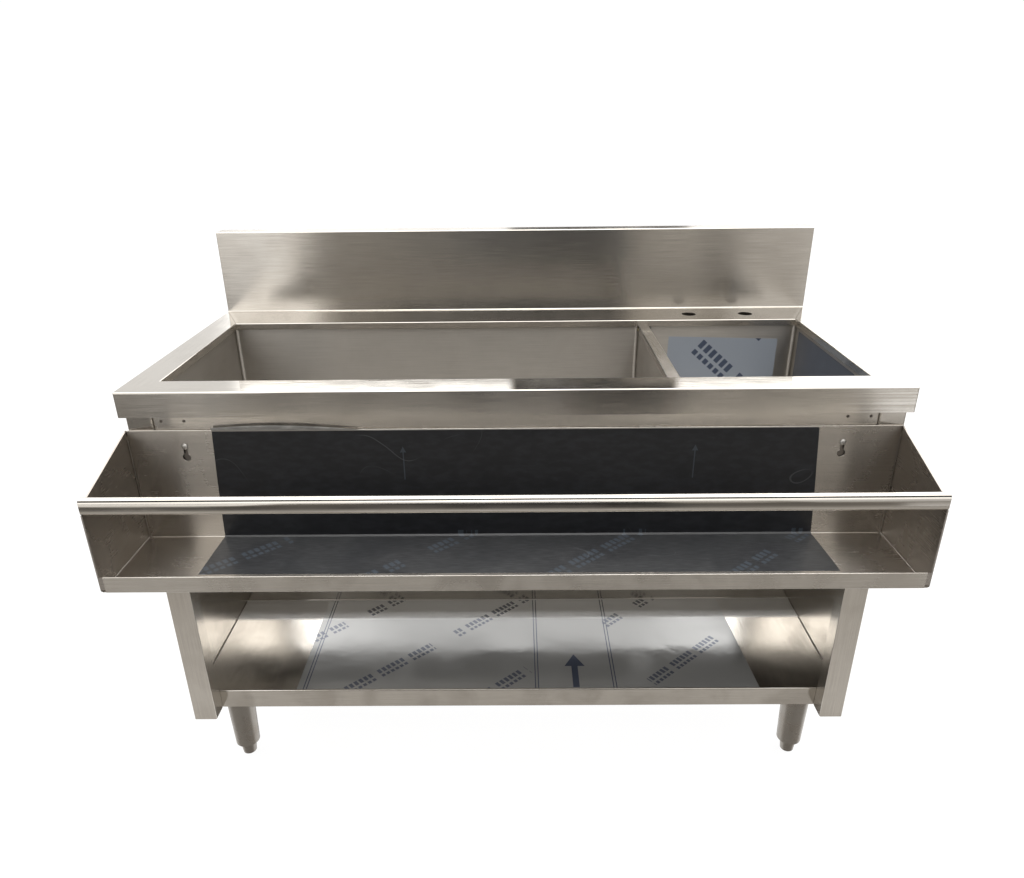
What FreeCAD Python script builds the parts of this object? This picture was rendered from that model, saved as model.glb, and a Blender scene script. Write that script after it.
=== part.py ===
"""Bar sink with ice bin: a stainless cocktail station, in millimetres.

+X is right, +Y is back and +Z is up. The floor is Z = 0, and the origin lies under the
middle of the whole object. Every size is a cell of the sheet Sizes. Places that follow
from the sizes are the formulas in PLACES, and each piece is bound to both.
"""
import FreeCAD
import Part
import os
import re
import Sketcher
from FreeCAD import Vector

SIZES = {
    # worktop
    "width": 1500,
    "deck_depth": 650,
    "splash_depth": 50,
    "worktop_height": 950,
    "splash_height": 200,
    "apron_height": 50,
    "sheet": 1.2,
    "bend_radius": 3,
    "lip_radius": 2,
    "ground_round": 1,
    "overcut": 1,
    "front_strip": 70,
    "back_strip": 130,
    "side_strip": 62,
    "lip_drop": 15,
    "lip_gap": 0.3,
    "tap_hole": 35,
    "tap_spacing": 142,
    "tap_setback": 70,
    # bowls
    "divider_width": 28,
    "divider_flange": 12,
    "sink_width": 356,
    "bowl_corner": 8,
    "ice_depth": 320,
    "sink_depth": 250,
    # ice bin jacket
    "foam": 20,
    "casing": 1,
    "foam_clearance": 4,
    # frame
    "post_inset": 14,
    "post_width": 50,
    "post_return": 39,
    "post_setback": 1.5,
    "post_bottom": 165,
    "side_inset": 10,
    "rear_flange": 30,
    "panel_setback": 3,
    "panel_drop": 350,
    "panel_flange": 15,
    "rail_height": 62,
    "rail_depth": 36,
    "rail_end_gap": 2,
    "rear_rail_inset": 5,
    # shelf and base
    "shelf_top": 213,
    "shelf_lip": 48,
    "shelf_front": 42,
    "shelf_depth": 365,
    "shelf_upstand": 60,
    "hem": 12,
    "hem_gap": 0.4,
    "runner_width": 70,
    "runner_height": 39.8,
    "stretcher_depth": 40,
    "plate_side": 64,
    "plate_thick": 4,
    # feet
    "foot_inset": 79,
    "foot_front": 77,
    "foot_back": 75,
    "foot_top_diameter": 63,
    "foot_bottom_diameter": 55,
    "foot_bore": 44,
    "foot_bush_height": 95,
    "foot_roof": 8,
    "insert_show": 35,
    "insert_top_diameter": 38,
    "insert_bottom_diameter": 31,
    "insert_sleeve": 20,
    "insert_chamfer": 2,
    "stem_diameter": 16,
    "stem_top": 140,
    "thread_gap": 0.05,
    # bottle trough
    "trough_inset": 12,
    "trough_shift": -4,
    "trough_depth": 202,
    "trough_gap": 0.3,
    "trough_top_drop": 75,
    "trough_floor_drop": 308,
    "trough_lip": 33,
    "trough_hem": 16,
    "end_tab": 9,
    "edge_hem": 10,
    "hem_step": 0.5,
    "end_corner": 7,
    "front_rail_drop": 151,
    "front_rail_width": 25,
    "nose_height": 30,
    "nose_width": 17,
    "strip_height": 21,
    "nose_round": 8.2,
    "rail_round": 4,
    "strip_round": 2,
    # trough screws
    "key_inset": 109,
    "key_drop": 109,
    "key_slot": 8,
    "key_hole": 16,
    "key_travel": 22,
    "screw_shank": 6,
    "screw_head": 12,
    "screw_head_height": 3.5,
    "screw_gap": 0.3,
    "screw_length": 22,
    "nut_barrel": 9,
    "nut_flange": 13,
    "nut_flange_thick": 1.5,
    "nut_length": 15,
    "rivet_diameter": 6,
    "rivet_height": 1,
    "rivet_inset": 15.5,
    "rivet_pitch": 43.5,
    "rivet_drop": 58,
    # wastes
    "ice_waste_flange": 60,
    "ice_waste_cup": 42,
    "ice_waste_cup_depth": 12,
    "ice_waste_tail": 32,
    "sink_waste_flange": 90,
    "sink_waste_cup": 74,
    "sink_waste_cup_depth": 34,
    "sink_waste_tail": 40,
    "waste_rim": 2,
    "waste_wall": 1.5,
    "waste_drop": 90,
    "waste_gap": 0.3,
    "gasket": 2.5,
    "gasket_width": 9,
    "nut_width": 7,
    "nut_thick": 8,
    "strainer_gap": 0.6,
    "strainer_seat": 0.3,
    "strainer_wall": 0.8,
    "strainer_depth": 22,
    "strainer_rim": 3.2,
    "strainer_hole": 5,
    "strainer_ring": 34,
    "strainer_knob": 14,
    "strainer_knob_height": 12,
    # protective films
    "film": 0.3,
    "trough_film_inset": 152,
    "trough_film_depth": 143,
    "shelf_film_left": 244,
    "shelf_film_right": 190,
    "film_margin": 4,
    "back_film_left": 50,
    "back_film_width": 270,
    "back_film_top": 46,
    "back_film_height": 180,
    "side_film_front": 86,
    "side_film_back": 30,
    "side_film_top": 24,
    "side_film_height": 190,
}

PLACES = {
    # depths, from the front of the trough to the back of the splashback
    "front": "(trough_depth - deck_depth - splash_depth) / 2",
    "splash_face": "front + deck_depth",
    "back": "splash_face + splash_depth",
    "hole_front": "front + front_strip",
    "hole_back": "splash_face - back_strip",
    "hole_half": "width / 2 - side_strip",
    "tap_line": "splash_face - tap_setback",
    # heights
    "under": "worktop_height - sheet",
    "apron_bottom": "worktop_height - apron_height",
    "lip_bottom": "worktop_height - lip_drop",
    "ice_floor": "worktop_height - ice_depth",
    "sink_floor": "worktop_height - sink_depth",
    # bowls stand back from the lip, so that their round corners clear its square ones
    "setback": "sheet + lip_gap + (1 - sqrt(0.5)) * bowl_corner",
    "bowl_front": "hole_front - setback",
    "bowl_back": "hole_back + setback",
    "divider_right": "hole_half - sink_width",
    "divider_left": "divider_right - divider_width",
    "bowl_side": "hole_half + setback",
    "ice_middle": "(divider_left - bowl_side) / 2",
    "sink_middle": "(divider_right + bowl_side) / 2",
    "tap_middle": "(divider_right + hole_half) / 2",
    "bowl_line": "(bowl_front + bowl_back) / 2",
    "foam_top": "lip_bottom - sheet - foam_clearance",
    # frame
    "post_face": "front + post_setback",
    "post_outer": "width / 2 - post_inset",
    "post_inner": "post_outer - post_width",
    "post_top": "under - bend_radius + sheet",
    "side_inner": "post_outer - sheet",
    "side_back": "back - side_inset",
    "panel_face": "front + panel_setback",
    "panel_back": "panel_face + sheet",
    "rear_rail": "splash_face - rear_rail_inset",
    "rear_panel": "side_back - sheet",
    "rear_panel_half": "side_inner - bend_radius",
    "lip_face": "front + shelf_front",
    "shelf_back": "lip_face + shelf_depth",
    "shelf_under": "shelf_top - sheet",
    "runner_bottom": "shelf_under - runner_height",
    "runner_front": "lip_face + 2 * sheet + hem_gap",
    "stretcher": "side_back - stretcher_depth",
    "foot_half": "post_outer - foot_inset",
    "foot_line_front": "front + foot_front",
    "foot_line_back": "side_back - foot_back",
    "foot_top": "runner_bottom - plate_thick",
    # trough
    "trough_front": "front - trough_depth",
    "trough_back": "post_face - trough_gap",
    "trough_top": "worktop_height - trough_top_drop",
    "trough_under": "worktop_height - trough_floor_drop",
    "trough_floor": "trough_under + sheet",
    "trough_lip_top": "trough_under + trough_lip",
    "fold": "2 * sheet + hem_gap",
    "trough_half": "width / 2 - trough_inset",
    "end_inner": "trough_half - sheet",
    "end_tab_inner": "trough_half - end_tab",
    "rail_bottom": "worktop_height - front_rail_drop",
    "rail_back": "trough_front + front_rail_width",
    "strip_top": "rail_bottom + strip_height",
    "rail_top": "rail_bottom + nose_height",
    "key_half": "trough_half - key_inset",
    "key_line": "worktop_height - key_drop",
    "slot_top": "key_line + (screw_shank - key_slot) / 2 + screw_gap",
    "rivet_line": "worktop_height - rivet_drop",
}

STRAINER_HOLES = 6

NAME = re.compile(r"[a-z_]+")
doc = FreeCAD.newDocument("BarSink")
cells = doc.addObject("Spreadsheet::Sheet", "Sizes")
for row, (alias, size) in enumerate(SIZES.items(), start=1):
    cells.set("A%d" % row, alias.replace("_", " "))
    cells.set("B%d" % row, str(size))
    cells.setAlias("B%d" % row, alias)
doc.recompute()
pieces = []


# ---------------------------------------------------------------- formulas
def spell(found):
    """One name of a formula as a cell of the sheet, or as the place's own formula."""
    name = found.group()
    if name in SIZES:
        return "Sizes." + name
    if name in PLACES:
        return "(" + formula(PLACES[name]) + ")"
    return name


def formula(text):
    """A formula of plain names, written out on the cells of the sheet."""
    return NAME.sub(spell, text)


def value(text):
    """What a formula of plain names comes to."""
    return float(cells.evalExpression(formula(text)))


def times(sign, text):
    """A formula, or its negative for a mirrored piece."""
    return text if sign > 0 else "-(" + text + ")"


# ---------------------------------------------------------------- sketches and features
def body(label):
    """A new body, listed as a piece of the object."""
    made = doc.addObject("PartDesign::Body", label)
    made.Label = label
    pieces.append(made)
    return made


def sketch_on(owner, plane, offset="0", across="0", up="0"):
    """An empty sketch on a plane of the body, moved along its normal, across and up."""
    sketch = owner.newObject("Sketcher::SketchObject", "sketch")
    origin = [face for face in owner.Origin.OriginFeatures if face.Role == plane]
    sketch.AttachmentSupport = [(origin[0], "")]
    sketch.MapMode = "FlatFace"
    sketch.setExpression("AttachmentOffset.Base.z", formula(offset))
    sketch.setExpression("AttachmentOffset.Base.x", formula(across))
    sketch.setExpression("AttachmentOffset.Base.y", formula(up))
    return sketch


def bind(sketch, kind, args, text):
    """A constraint whose size is a formula."""
    index = sketch.addConstraint(Sketcher.Constraint(kind, *args, value(text)))
    sketch.setExpression("Constraints[%d]" % index, formula(text))


def draw(sketch, points):
    """A closed outline of straight lines through corners given as pairs of formulas."""
    first = sketch.GeometryCount
    count = len(points)
    spots = [Vector(value(along), value(up), 0) for along, up in points]
    for i in range(count):
        sketch.addGeometry(Part.LineSegment(spots[i], spots[(i + 1) % count]))
    for i in range(count):
        following = first + (i + 1) % count
        sketch.addConstraint(Sketcher.Constraint("Coincident", first + i, 2, following, 1))
    for i, (along, up) in enumerate(points):
        bind(sketch, "DistanceX", (-1, 1, first + i, 1), along)
        bind(sketch, "DistanceY", (-1, 1, first + i, 1), up)
    return sketch


def ring(sketch, along, up, diameter):
    """A circle about a point given as two formulas."""
    spot = Vector(value(along), value(up), 0)
    circle = Part.Circle(spot, Vector(0, 0, 1), value(diameter) / 2)
    index = sketch.addGeometry(circle)
    bind(sketch, "DistanceX", (-1, 1, index, 3), along)
    bind(sketch, "DistanceY", (-1, 1, index, 3), up)
    bind(sketch, "Diameter", (index,), diameter)
    return sketch


def rectangle(left, right, low, high):
    """The four corners between two pairs of formulas."""
    return [(left, low), (right, low), (right, high), (left, high)]


def pad(owner, sketch, length, symmetric=False, backwards=False):
    """Material from a sketch, to one side of it or to both."""
    made = owner.newObject("PartDesign::Pad", "pad")
    made.Profile = sketch
    made.SideType = "Symmetric" if symmetric else "One side"
    made.Reversed = backwards
    made.setExpression("Length", formula(length))
    doc.recompute()
    return made


def pocket(owner, sketch, length, symmetric=False, backwards=False):
    """A cut from a sketch, which has to take material away."""
    before = owner.Shape.Volume
    made = owner.newObject("PartDesign::Pocket", "pocket")
    made.Profile = sketch
    made.SideType = "Symmetric" if symmetric else "One side"
    made.Reversed = backwards
    made.setExpression("Length", formula(length))
    doc.recompute()
    if owner.Shape.Volume > before - 1e-6:
        raise RuntimeError("a cut in %s takes nothing away" % owner.Label)
    return made


def revolve(owner, sketch):
    """A full turn of a sketch about its own upright axis."""
    made = owner.newObject("PartDesign::Revolution", "turn")
    made.Profile = sketch
    made.ReferenceAxis = (sketch, ["V_Axis"])
    made.Angle = 360
    doc.recompute()
    return made


def round_edges(owner, radius, wanted):
    """A fillet on every straight edge that the test wants."""
    base = owner.Tip
    edges = enumerate(base.Shape.Edges, start=1)
    names = ["Edge%d" % number for number, edge in edges if wanted(edge)]
    made = owner.newObject("PartDesign::Fillet", "bend")
    made.Base = (base, names)
    made.setExpression("Radius", formula(radius))
    doc.recompute()
    return made


def hollow(owner, wall, open_faces):
    """The walls of a solid, measured inwards, without the faces that the test names."""
    base = owner.Tip
    faces = enumerate(base.Shape.Faces, start=1)
    names = ["Face%d" % number for number, face in faces if open_faces(face)]
    made = owner.newObject("PartDesign::Thickness", "wall")
    made.Base = (base, names)
    made.setExpression("Value", formula(wall))
    made.Reversed = True
    made.Join = 0
    doc.recompute()
    return made


def near(one, other):
    """Whether two lengths are the same."""
    return abs(one - other) < 0.01


def runs_along(edge, axis):
    """Whether an edge is straight and parallel to an axis."""
    ends = edge.valueAt(edge.LastParameter) - edge.valueAt(edge.FirstParameter)
    if not near(ends.Length, edge.Length):
        return False
    return near(abs(ends.dot(axis)), ends.Length)


X = Vector(1, 0, 0)
Y = Vector(0, 1, 0)
Z = Vector(0, 0, 1)
# for each plane: its own two axes, and the direction that a pad runs in
FRAMES = {"XY_Plane": (X, Y, Z), "XZ_Plane": (X, Z, Y), "YZ_Plane": (Y, Z, X)}


def edges_at(plane, spots):
    """A test for the straight edges that cross a plane at the given spots."""
    across, up, along = FRAMES[plane]

    def wanted(edge):
        if not runs_along(edge, along):
            return False
        middle = edge.CenterOfMass
        return any(near(middle.dot(across), spot[0]) and near(middle.dot(up), spot[1])
                   for spot in spots)
    return wanted


# ---------------------------------------------------------------- folded sheet
def folded(path, side, thick="sheet"):
    """The outline of a sheet folded square along a path of its outer face.

    side is 1 where the sheet lies left of the way along the path, and -1 where right.
    """
    spots = [(value(across), value(up)) for across, up in path]
    normals = []
    for (x0, y0), (x1, y1) in zip(spots, spots[1:]):
        length = abs(x1 - x0) + abs(y1 - y0)
        normals.append((round((y0 - y1) / length) * side, round((x1 - x0) / length) * side))
    inner = []
    for i, (across, up) in enumerate(path):
        beside = normals[max(i - 1, 0):i + 1]
        move_x = max((normal[0] for normal in beside), key=abs)
        move_y = max((normal[1] for normal in beside), key=abs)
        inner.append(("%s + %d * %s" % (across, move_x, thick), "%s + %d * %s" % (up, move_y, thick)))
    return path + inner[::-1]


def folded_sheet(owner, plane, path, side, length, offset="0", symmetric=True,
                 backwards=False, tight=()):
    """A sheet with square folds, each bend rounded inside and out.

    tight lists the corners of the path where a hem folds back on itself.
    """
    outline = folded(path, side)
    sketch = draw(sketch_on(owner, plane, offset), outline)
    pad(owner, sketch, length, symmetric, backwards)
    count = len(path)
    bends = [i for i in range(1, count - 1) if i not in tight]
    spots = [(value(across), value(up)) for across, up in outline]
    outside = [spots[i] for i in bends]
    inside = [spots[2 * count - 1 - i] for i in bends]
    round_edges(owner, "bend_radius", edges_at(plane, outside))
    round_edges(owner, "bend_radius - sheet", edges_at(plane, inside))
    if tight:
        round_edges(owner, "sheet", edges_at(plane, [spots[i] for i in tight]))


# ---------------------------------------------------------------- worktop
def make_worktop():
    """Deck, aprons and box splashback, folded from one sheet, with its two openings."""
    made = body("worktop")
    profile = [("front", "apron_bottom"), ("back", "apron_bottom"),
               ("back", "worktop_height + splash_height"),
               ("splash_face", "worktop_height + splash_height"),
               ("splash_face", "worktop_height"), ("front", "worktop_height")]
    sketch = draw(sketch_on(made, "YZ_Plane"), profile)
    pad(made, sketch, "width", symmetric=True)
    face = value("splash_face")
    top = value("worktop_height")
    half = value("width") / 2

    def folds(edge):
        """The long folds of the deck and the splashback, and the upright corners."""
        at = edge.CenterOfMass
        if runs_along(edge, X):
            return at.z > top - 1
        return runs_along(edge, Z) and not near(at.y, face)
    round_edges(made, "bend_radius", folds)
    bottom = value("apron_bottom")
    hollow(made, "sheet", lambda f: near(f.CenterOfMass.z, bottom) and near(f.BoundBox.ZLength, 0))

    def ground_edges(edge):
        """The welded edges at both ends, which are ground to a small round."""
        at = edge.CenterOfMass
        if not near(abs(at.x), half):
            return False
        return runs_along(edge, Y) and at.z > top - 1 or runs_along(edge, Z) and near(at.y, face)
    round_edges(made, "ground_round", ground_edges)

    opening = rectangle("-hole_half", "hole_half", "hole_front", "hole_back")
    sketch = draw(sketch_on(made, "XY_Plane", "under - overcut"), opening)
    pocket(made, sketch, "sheet + 2 * overcut", backwards=True)
    sketch = sketch_on(made, "XY_Plane", "lip_bottom")
    draw(sketch, opening)
    draw(sketch, rectangle("-hole_half - sheet", "hole_half + sheet",
                           "hole_front - sheet", "hole_back + sheet"))
    pad(made, sketch, "lip_drop - sheet / 2")
    half = value("hole_half")
    low = value("hole_front")
    high = value("hole_back")

    def rim(edge):
        """The upper edges of the opening, where the deck turns down into the lip."""
        at = edge.CenterOfMass
        if not near(at.z, top):
            return False
        if runs_along(edge, X):
            return near(at.y, low) or near(at.y, high)
        return runs_along(edge, Y) and near(abs(at.x), half)
    round_edges(made, "lip_radius", rim)

    sketch = sketch_on(made, "XY_Plane", "under - overcut")
    for sign in ("-", "+"):
        ring(sketch, "tap_middle %s tap_spacing / 2" % sign, "tap_line", "tap_hole")
    pocket(made, sketch, "sheet + 2 * overcut", backwards=True)


# ---------------------------------------------------------------- bowls
def make_bowl(label, left, right, floor, waste_across, waste_hole, divider_side):
    """A welded box bowl. Its wall under the divider strip stops at the strip's flange."""
    made = body(label)
    base = floor + " - sheet"
    outline = rectangle(left + " - sheet", right + " + sheet",
                        "bowl_front - sheet", "bowl_back + sheet")
    sketch = draw(sketch_on(made, "XY_Plane", base), outline)
    pad(made, sketch, "under - (" + base + ")")
    bottom = value(base)
    round_edges(made, "bowl_corner + sheet",
                lambda edge: runs_along(edge, Z) or near(edge.CenterOfMass.z, bottom))
    brim = value("under")
    hollow(made, "sheet", lambda face: near(face.CenterOfMass.z, brim))
    wall = rectangle(divider_side + " - 2 * sheet", divider_side + " + 2 * sheet",
                     "lip_bottom - divider_flange", "worktop_height")
    sketch = draw(sketch_on(made, "XZ_Plane", "-bowl_line"), wall)
    pocket(made, sketch, "bowl_back - bowl_front + 4 * sheet", symmetric=True)
    sketch = ring(sketch_on(made, "XY_Plane", base + " - overcut"), waste_across,
                  "bowl_line", waste_hole + " + 2 * waste_gap")
    pocket(made, sketch, "sheet + 2 * overcut", backwards=True)


def make_divider():
    """The folded strip that caps the walls between the two bowls."""
    made = body("bowl_divider")
    path = [("divider_right", "lip_bottom - divider_flange"), ("divider_right", "lip_bottom"),
            ("divider_left", "lip_bottom"), ("divider_left", "lip_bottom - divider_flange")]
    folded_sheet(made, "XZ_Plane", path, 1, "bowl_back - bowl_front", "-bowl_line")


def make_jacket():
    """Foam round the ice bin, and the thin tray that closes it."""
    bowl = ("bowl_side + sheet", "divider_left + sheet", "bowl_front - sheet",
            "bowl_back + sheet", "ice_floor - sheet")
    shells = (("ice_bin_insulation", "foam", bowl),
              ("ice_bin_casing", "casing",
               (bowl[0] + " + foam", bowl[1] + " + foam", bowl[2] + " - foam",
                bowl[3] + " + foam", bowl[4] + " - foam")))
    for label, wall, (left, right, near_side, far_side, low) in shells:
        made = body(label)
        outer = rectangle("-(%s + %s)" % (left, wall), "%s + %s" % (right, wall),
                          "%s - %s" % (near_side, wall), "%s + %s" % (far_side, wall))
        base = "%s - %s" % (low, wall)
        pad(made, draw(sketch_on(made, "XY_Plane", base), outer), "foam_top - (" + base + ")")
        inner = rectangle("-(%s)" % left, right, near_side, far_side)
        sketch = draw(sketch_on(made, "XY_Plane", low), inner)
        pocket(made, sketch, "foam_top - (" + low + ") + overcut", backwards=True)
        sketch = ring(sketch_on(made, "XY_Plane", base + " - overcut"), "ice_middle", "bowl_line",
                      "ice_waste_cup + 2 * gasket_width + 2 * nut_width")
        pocket(made, sketch, wall + " + 2 * overcut", backwards=True)


# ---------------------------------------------------------------- frame
def make_side(label, sign):
    """A side sheet, folded round into the front post, with a flange at the back."""
    made = body(label)
    path = [("post_inner", "post_face + post_return"), ("post_inner", "post_face"),
            ("post_outer", "post_face"), ("post_outer", "side_back"),
            ("post_outer - rear_flange", "side_back")]
    if sign < 0:
        path = [(times(sign, across), deep) for across, deep in path[::-1]]
    folded_sheet(made, "XY_Plane", path, 1, "post_top - post_bottom", "post_bottom", symmetric=False)


def make_front_panel():
    """The sheet between the posts, with a flange back along each return."""
    made = body("front_panel")
    path = [("post_inner", "panel_face + panel_flange"), ("post_inner", "panel_face"),
            ("-post_inner", "panel_face"), ("-post_inner", "panel_face + panel_flange")]
    folded_sheet(made, "XY_Plane", path, -1, "under - (worktop_height - panel_drop)",
                 "worktop_height - panel_drop", symmetric=False)
    sketch = sketch_on(made, "XZ_Plane", "-panel_face + overcut")
    for sign in ("-", "+"):
        across = "trough_shift %s key_half" % sign
        ring(sketch, across, "key_line", "nut_barrel + 2 * thread_gap")
    pocket(made, sketch, "sheet + 2 * overcut")


def make_rear_panel():
    """The sheet across the back, laid on the rear flanges of the sides."""
    made = body("rear_panel")
    path = [("rear_panel_half", "rear_panel - panel_flange"), ("rear_panel_half", "rear_panel"),
            ("-rear_panel_half", "rear_panel"), ("-rear_panel_half", "rear_panel - panel_flange")]
    folded_sheet(made, "XY_Plane", path, 1, "under - (worktop_height - panel_drop)",
                 "worktop_height - panel_drop", symmetric=False)


def make_rails():
    """The channels that stiffen the deck, in front of the bowls and behind them."""
    low = "under - rail_height"
    made = body("front_rail")
    path = [("panel_back + rail_depth", "under"), ("panel_back", "under"),
            ("panel_back", low), ("panel_back + rail_depth", low)]
    folded_sheet(made, "YZ_Plane", path, 1, "2 * (post_inner - sheet - rail_end_gap)")
    made = body("rear_rail")
    path = [("rear_rail - rail_depth", low), ("rear_rail", low),
            ("rear_rail", "under"), ("rear_rail - rail_depth", "under")]
    folded_sheet(made, "YZ_Plane", path, 1, "2 * side_inner")


def make_shelf():
    """The shelf between the sides: hemmed front lip, flat top and rear upstand."""
    made = body("bottom_shelf")
    low = "shelf_top - shelf_lip"
    path = [("lip_face + fold", low + " + hem"), ("lip_face + fold", low), ("lip_face", low),
            ("lip_face", "shelf_top"), ("shelf_back - sheet", "shelf_top"),
            ("shelf_back - sheet", "shelf_top + shelf_upstand")]
    folded_sheet(made, "YZ_Plane", path, -1, "2 * side_inner", tight=(1, 2))


def make_base():
    """The runners under the shelf, and the stretcher across the back."""
    for label, middle in (("base_runner_left", "-foot_half"), ("base_runner_right", "foot_half")):
        made = body(label)
        left = middle + " - runner_width / 2"
        right = middle + " + runner_width / 2"
        path = [(left, "shelf_under"), (left, "runner_bottom"),
                (right, "runner_bottom"), (right, "shelf_under")]
        folded_sheet(made, "XZ_Plane", path, 1, "stretcher - runner_front", "-runner_front",
                     symmetric=False, backwards=True)
    made = body("rear_stretcher")
    deep = "side_back - bend_radius"
    path = [(deep, "shelf_under"), ("stretcher", "shelf_under"),
            ("stretcher", "runner_bottom"), (deep, "runner_bottom")]
    folded_sheet(made, "YZ_Plane", path, 1, "2 * side_inner")


# ---------------------------------------------------------------- small repeated pieces
UPRIGHT = FreeCAD.Rotation()
FACING_FRONT = FreeCAD.Rotation(X, 90)


def placed(made, across, deep, low, rotation=UPRIGHT):
    """A primitive put at a point given as three formulas."""
    made.Placement = FreeCAD.Placement(Vector(), rotation)
    for axis, text in zip("xyz", (across, deep, low)):
        made.setExpression("Placement.Base." + axis, formula(text))
    return made


def cylinder(across, deep, low, diameter, height, rotation=UPRIGHT):
    """A round bar that starts at a point and runs up, or towards the front."""
    made = doc.addObject("Part::Cylinder", "bar")
    made.setExpression("Radius", formula("(" + diameter + ") / 2"))
    made.setExpression("Height", formula(height))
    return placed(made, across, deep, low, rotation)


def slab(left, near_side, low, wide, deep, high):
    """A box from its lowest corner and its three lengths, all formulas."""
    made = doc.addObject("Part::Box", "slab")
    for side, text in (("Length", wide), ("Width", deep), ("Height", high)):
        made.setExpression(side, formula(text))
    return placed(made, left, near_side, low)


def joined(*parts):
    """Two or more shapes as one solid."""
    made = doc.addObject("Part::MultiFuse", "joined")
    made.Shapes = list(parts)
    return made


def bored(whole, hole):
    """A shape with another taken out of it."""
    made = doc.addObject("Part::Cut", "bored")
    made.Base = whole
    made.Tool = hole
    return made


def group(label, members):
    """Separate solids that share one node."""
    made = doc.addObject("Part::Compound", label)
    made.Label = label
    made.Links = members
    pieces.append(made)


FEET = {"front_left": ("-foot_half", "foot_line_front"),
        "front_right": ("foot_half", "foot_line_front"),
        "rear_left": ("-foot_half", "foot_line_back"),
        "rear_right": ("foot_half", "foot_line_back")}


def make_foot_plates():
    """A plate under the runner above each foot."""
    plates = []
    for across, deep in FEET.values():
        plates.append(slab(across + " - plate_side / 2", deep + " - plate_side / 2", "foot_top",
                           "plate_side", "plate_side", "plate_thick"))
    group("foot_plates", plates)


def make_hanging_screws():
    """The screws that the trough hangs on, and the rivet nuts in the front panel."""
    screws = []
    nuts = []
    face = "trough_back - sheet - screw_gap"
    for sign in ("-", "+"):
        across = "trough_shift %s key_half" % sign
        head = cylinder(across, face, "key_line", "screw_head", "screw_head_height", FACING_FRONT)
        shank = cylinder(across, face + " + screw_length", "key_line", "screw_shank",
                         "screw_length + screw_head_height / 2", FACING_FRONT)
        screws.append(joined(head, shank))
        flange = cylinder(across, "panel_face", "key_line", "nut_flange", "nut_flange_thick",
                          FACING_FRONT)
        barrel = cylinder(across, "panel_face + nut_length", "key_line", "nut_barrel",
                          "nut_length + nut_flange_thick / 2", FACING_FRONT)
        bore = cylinder(across, "panel_face + nut_length + overcut", "key_line",
                        "screw_shank + 2 * thread_gap",
                        "nut_length + nut_flange_thick + 2 * overcut", FACING_FRONT)
        nuts.append(bored(joined(flange, barrel), bore))
    group("hanging_screws", screws)
    group("rivet_nuts", nuts)


def make_rivets():
    """Four flat rivet heads along the top of the front panel."""
    rivets = []
    for inset in ("rivet_inset", "(rivet_inset + rivet_pitch)"):
        for sign in ("-", ""):
            rivets.append(cylinder("%s(post_inner - %s)" % (sign, inset), "panel_face",
                                   "rivet_line", "rivet_diameter", "rivet_height", FACING_FRONT))
    group("panel_rivets", rivets)


# ---------------------------------------------------------------- revolved pieces
def turned(label, across, deep, profile):
    """A piece turned about an upright axis, from radii and heights given as formulas."""
    made = body(label)
    sketch = draw(sketch_on(made, "XZ_Plane", "-(" + deep + ")", across), profile)
    revolve(made, sketch)
    return made


def make_feet():
    """Four tapered legs, and in each a bullet insert on a screwed stem."""
    for corner, (across, deep) in FEET.items():
        turned("foot_body_" + corner, across, deep, [
            ("foot_bore / 2", "insert_show"), ("foot_bottom_diameter / 2", "insert_show"),
            ("foot_top_diameter / 2", "foot_top"), ("0", "foot_top"), ("0", "foot_top - foot_roof"),
            ("stem_diameter / 2 + thread_gap", "foot_top - foot_roof"),
            ("stem_diameter / 2 + thread_gap", "foot_bush_height"),
            ("foot_bore / 2", "foot_bush_height")])
        turned("foot_insert_" + corner, across, deep, [
            ("0", "0"), ("insert_bottom_diameter / 2 - insert_chamfer", "0"),
            ("insert_bottom_diameter / 2", "insert_chamfer"),
            ("insert_top_diameter / 2", "insert_show"),
            ("insert_top_diameter / 2", "insert_show + insert_sleeve"),
            ("stem_diameter / 2", "insert_show + insert_sleeve"),
            ("stem_diameter / 2", "stem_top"), ("0", "stem_top")])


WASTES = {"ice": ("ice_bin_waste", "ice_middle", "ice_floor"),
          "sink": ("sink_waste", "sink_middle", "sink_floor")}


def make_waste(kind):
    """A flanged drain through a bowl's floor, with the gasket and the nut below it."""
    label, across, floor = WASTES[kind]
    cup = kind + "_waste_cup / 2"
    tail = kind + "_waste_tail / 2"
    under = floor + " - sheet"
    step = under + " - " + kind + "_waste_cup_depth"
    end = floor + " - waste_drop"
    turned(label, across, "bowl_line", [
        (cup, floor), (kind + "_waste_flange / 2", floor),
        (kind + "_waste_flange / 2", floor + " + waste_rim"),
        (cup + " - waste_wall", floor + " + waste_rim"), (cup + " - waste_wall", step),
        (tail + " - waste_wall", step), (tail + " - waste_wall", end), (tail, end),
        (tail, step + " - waste_wall"), (cup, step + " - waste_wall")])
    turned(label + "_gasket", across, "bowl_line", rectangle(
        cup + " + waste_gap", cup + " + gasket_width", under + " - gasket", under))
    nut = body(label + "_nut")
    radius = cup + " + nut_width"
    sketch = sketch_on(nut, "XY_Plane", under + " - gasket - nut_thick")
    turn = [("1", "0"), ("0.5", "0.866"), ("-0.5", "0.866"),
            ("-1", "0"), ("-0.5", "-0.866"), ("0.5", "-0.866")]
    draw(sketch, [("%s + (%s) * %s" % (across, radius, right),
                   "bowl_line + (%s) * %s" % (radius, deep)) for right, deep in turn])
    ring(sketch, across, "bowl_line", kind + "_waste_cup + 2 * thread_gap")
    pad(nut, sketch, "nut_thick")


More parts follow.
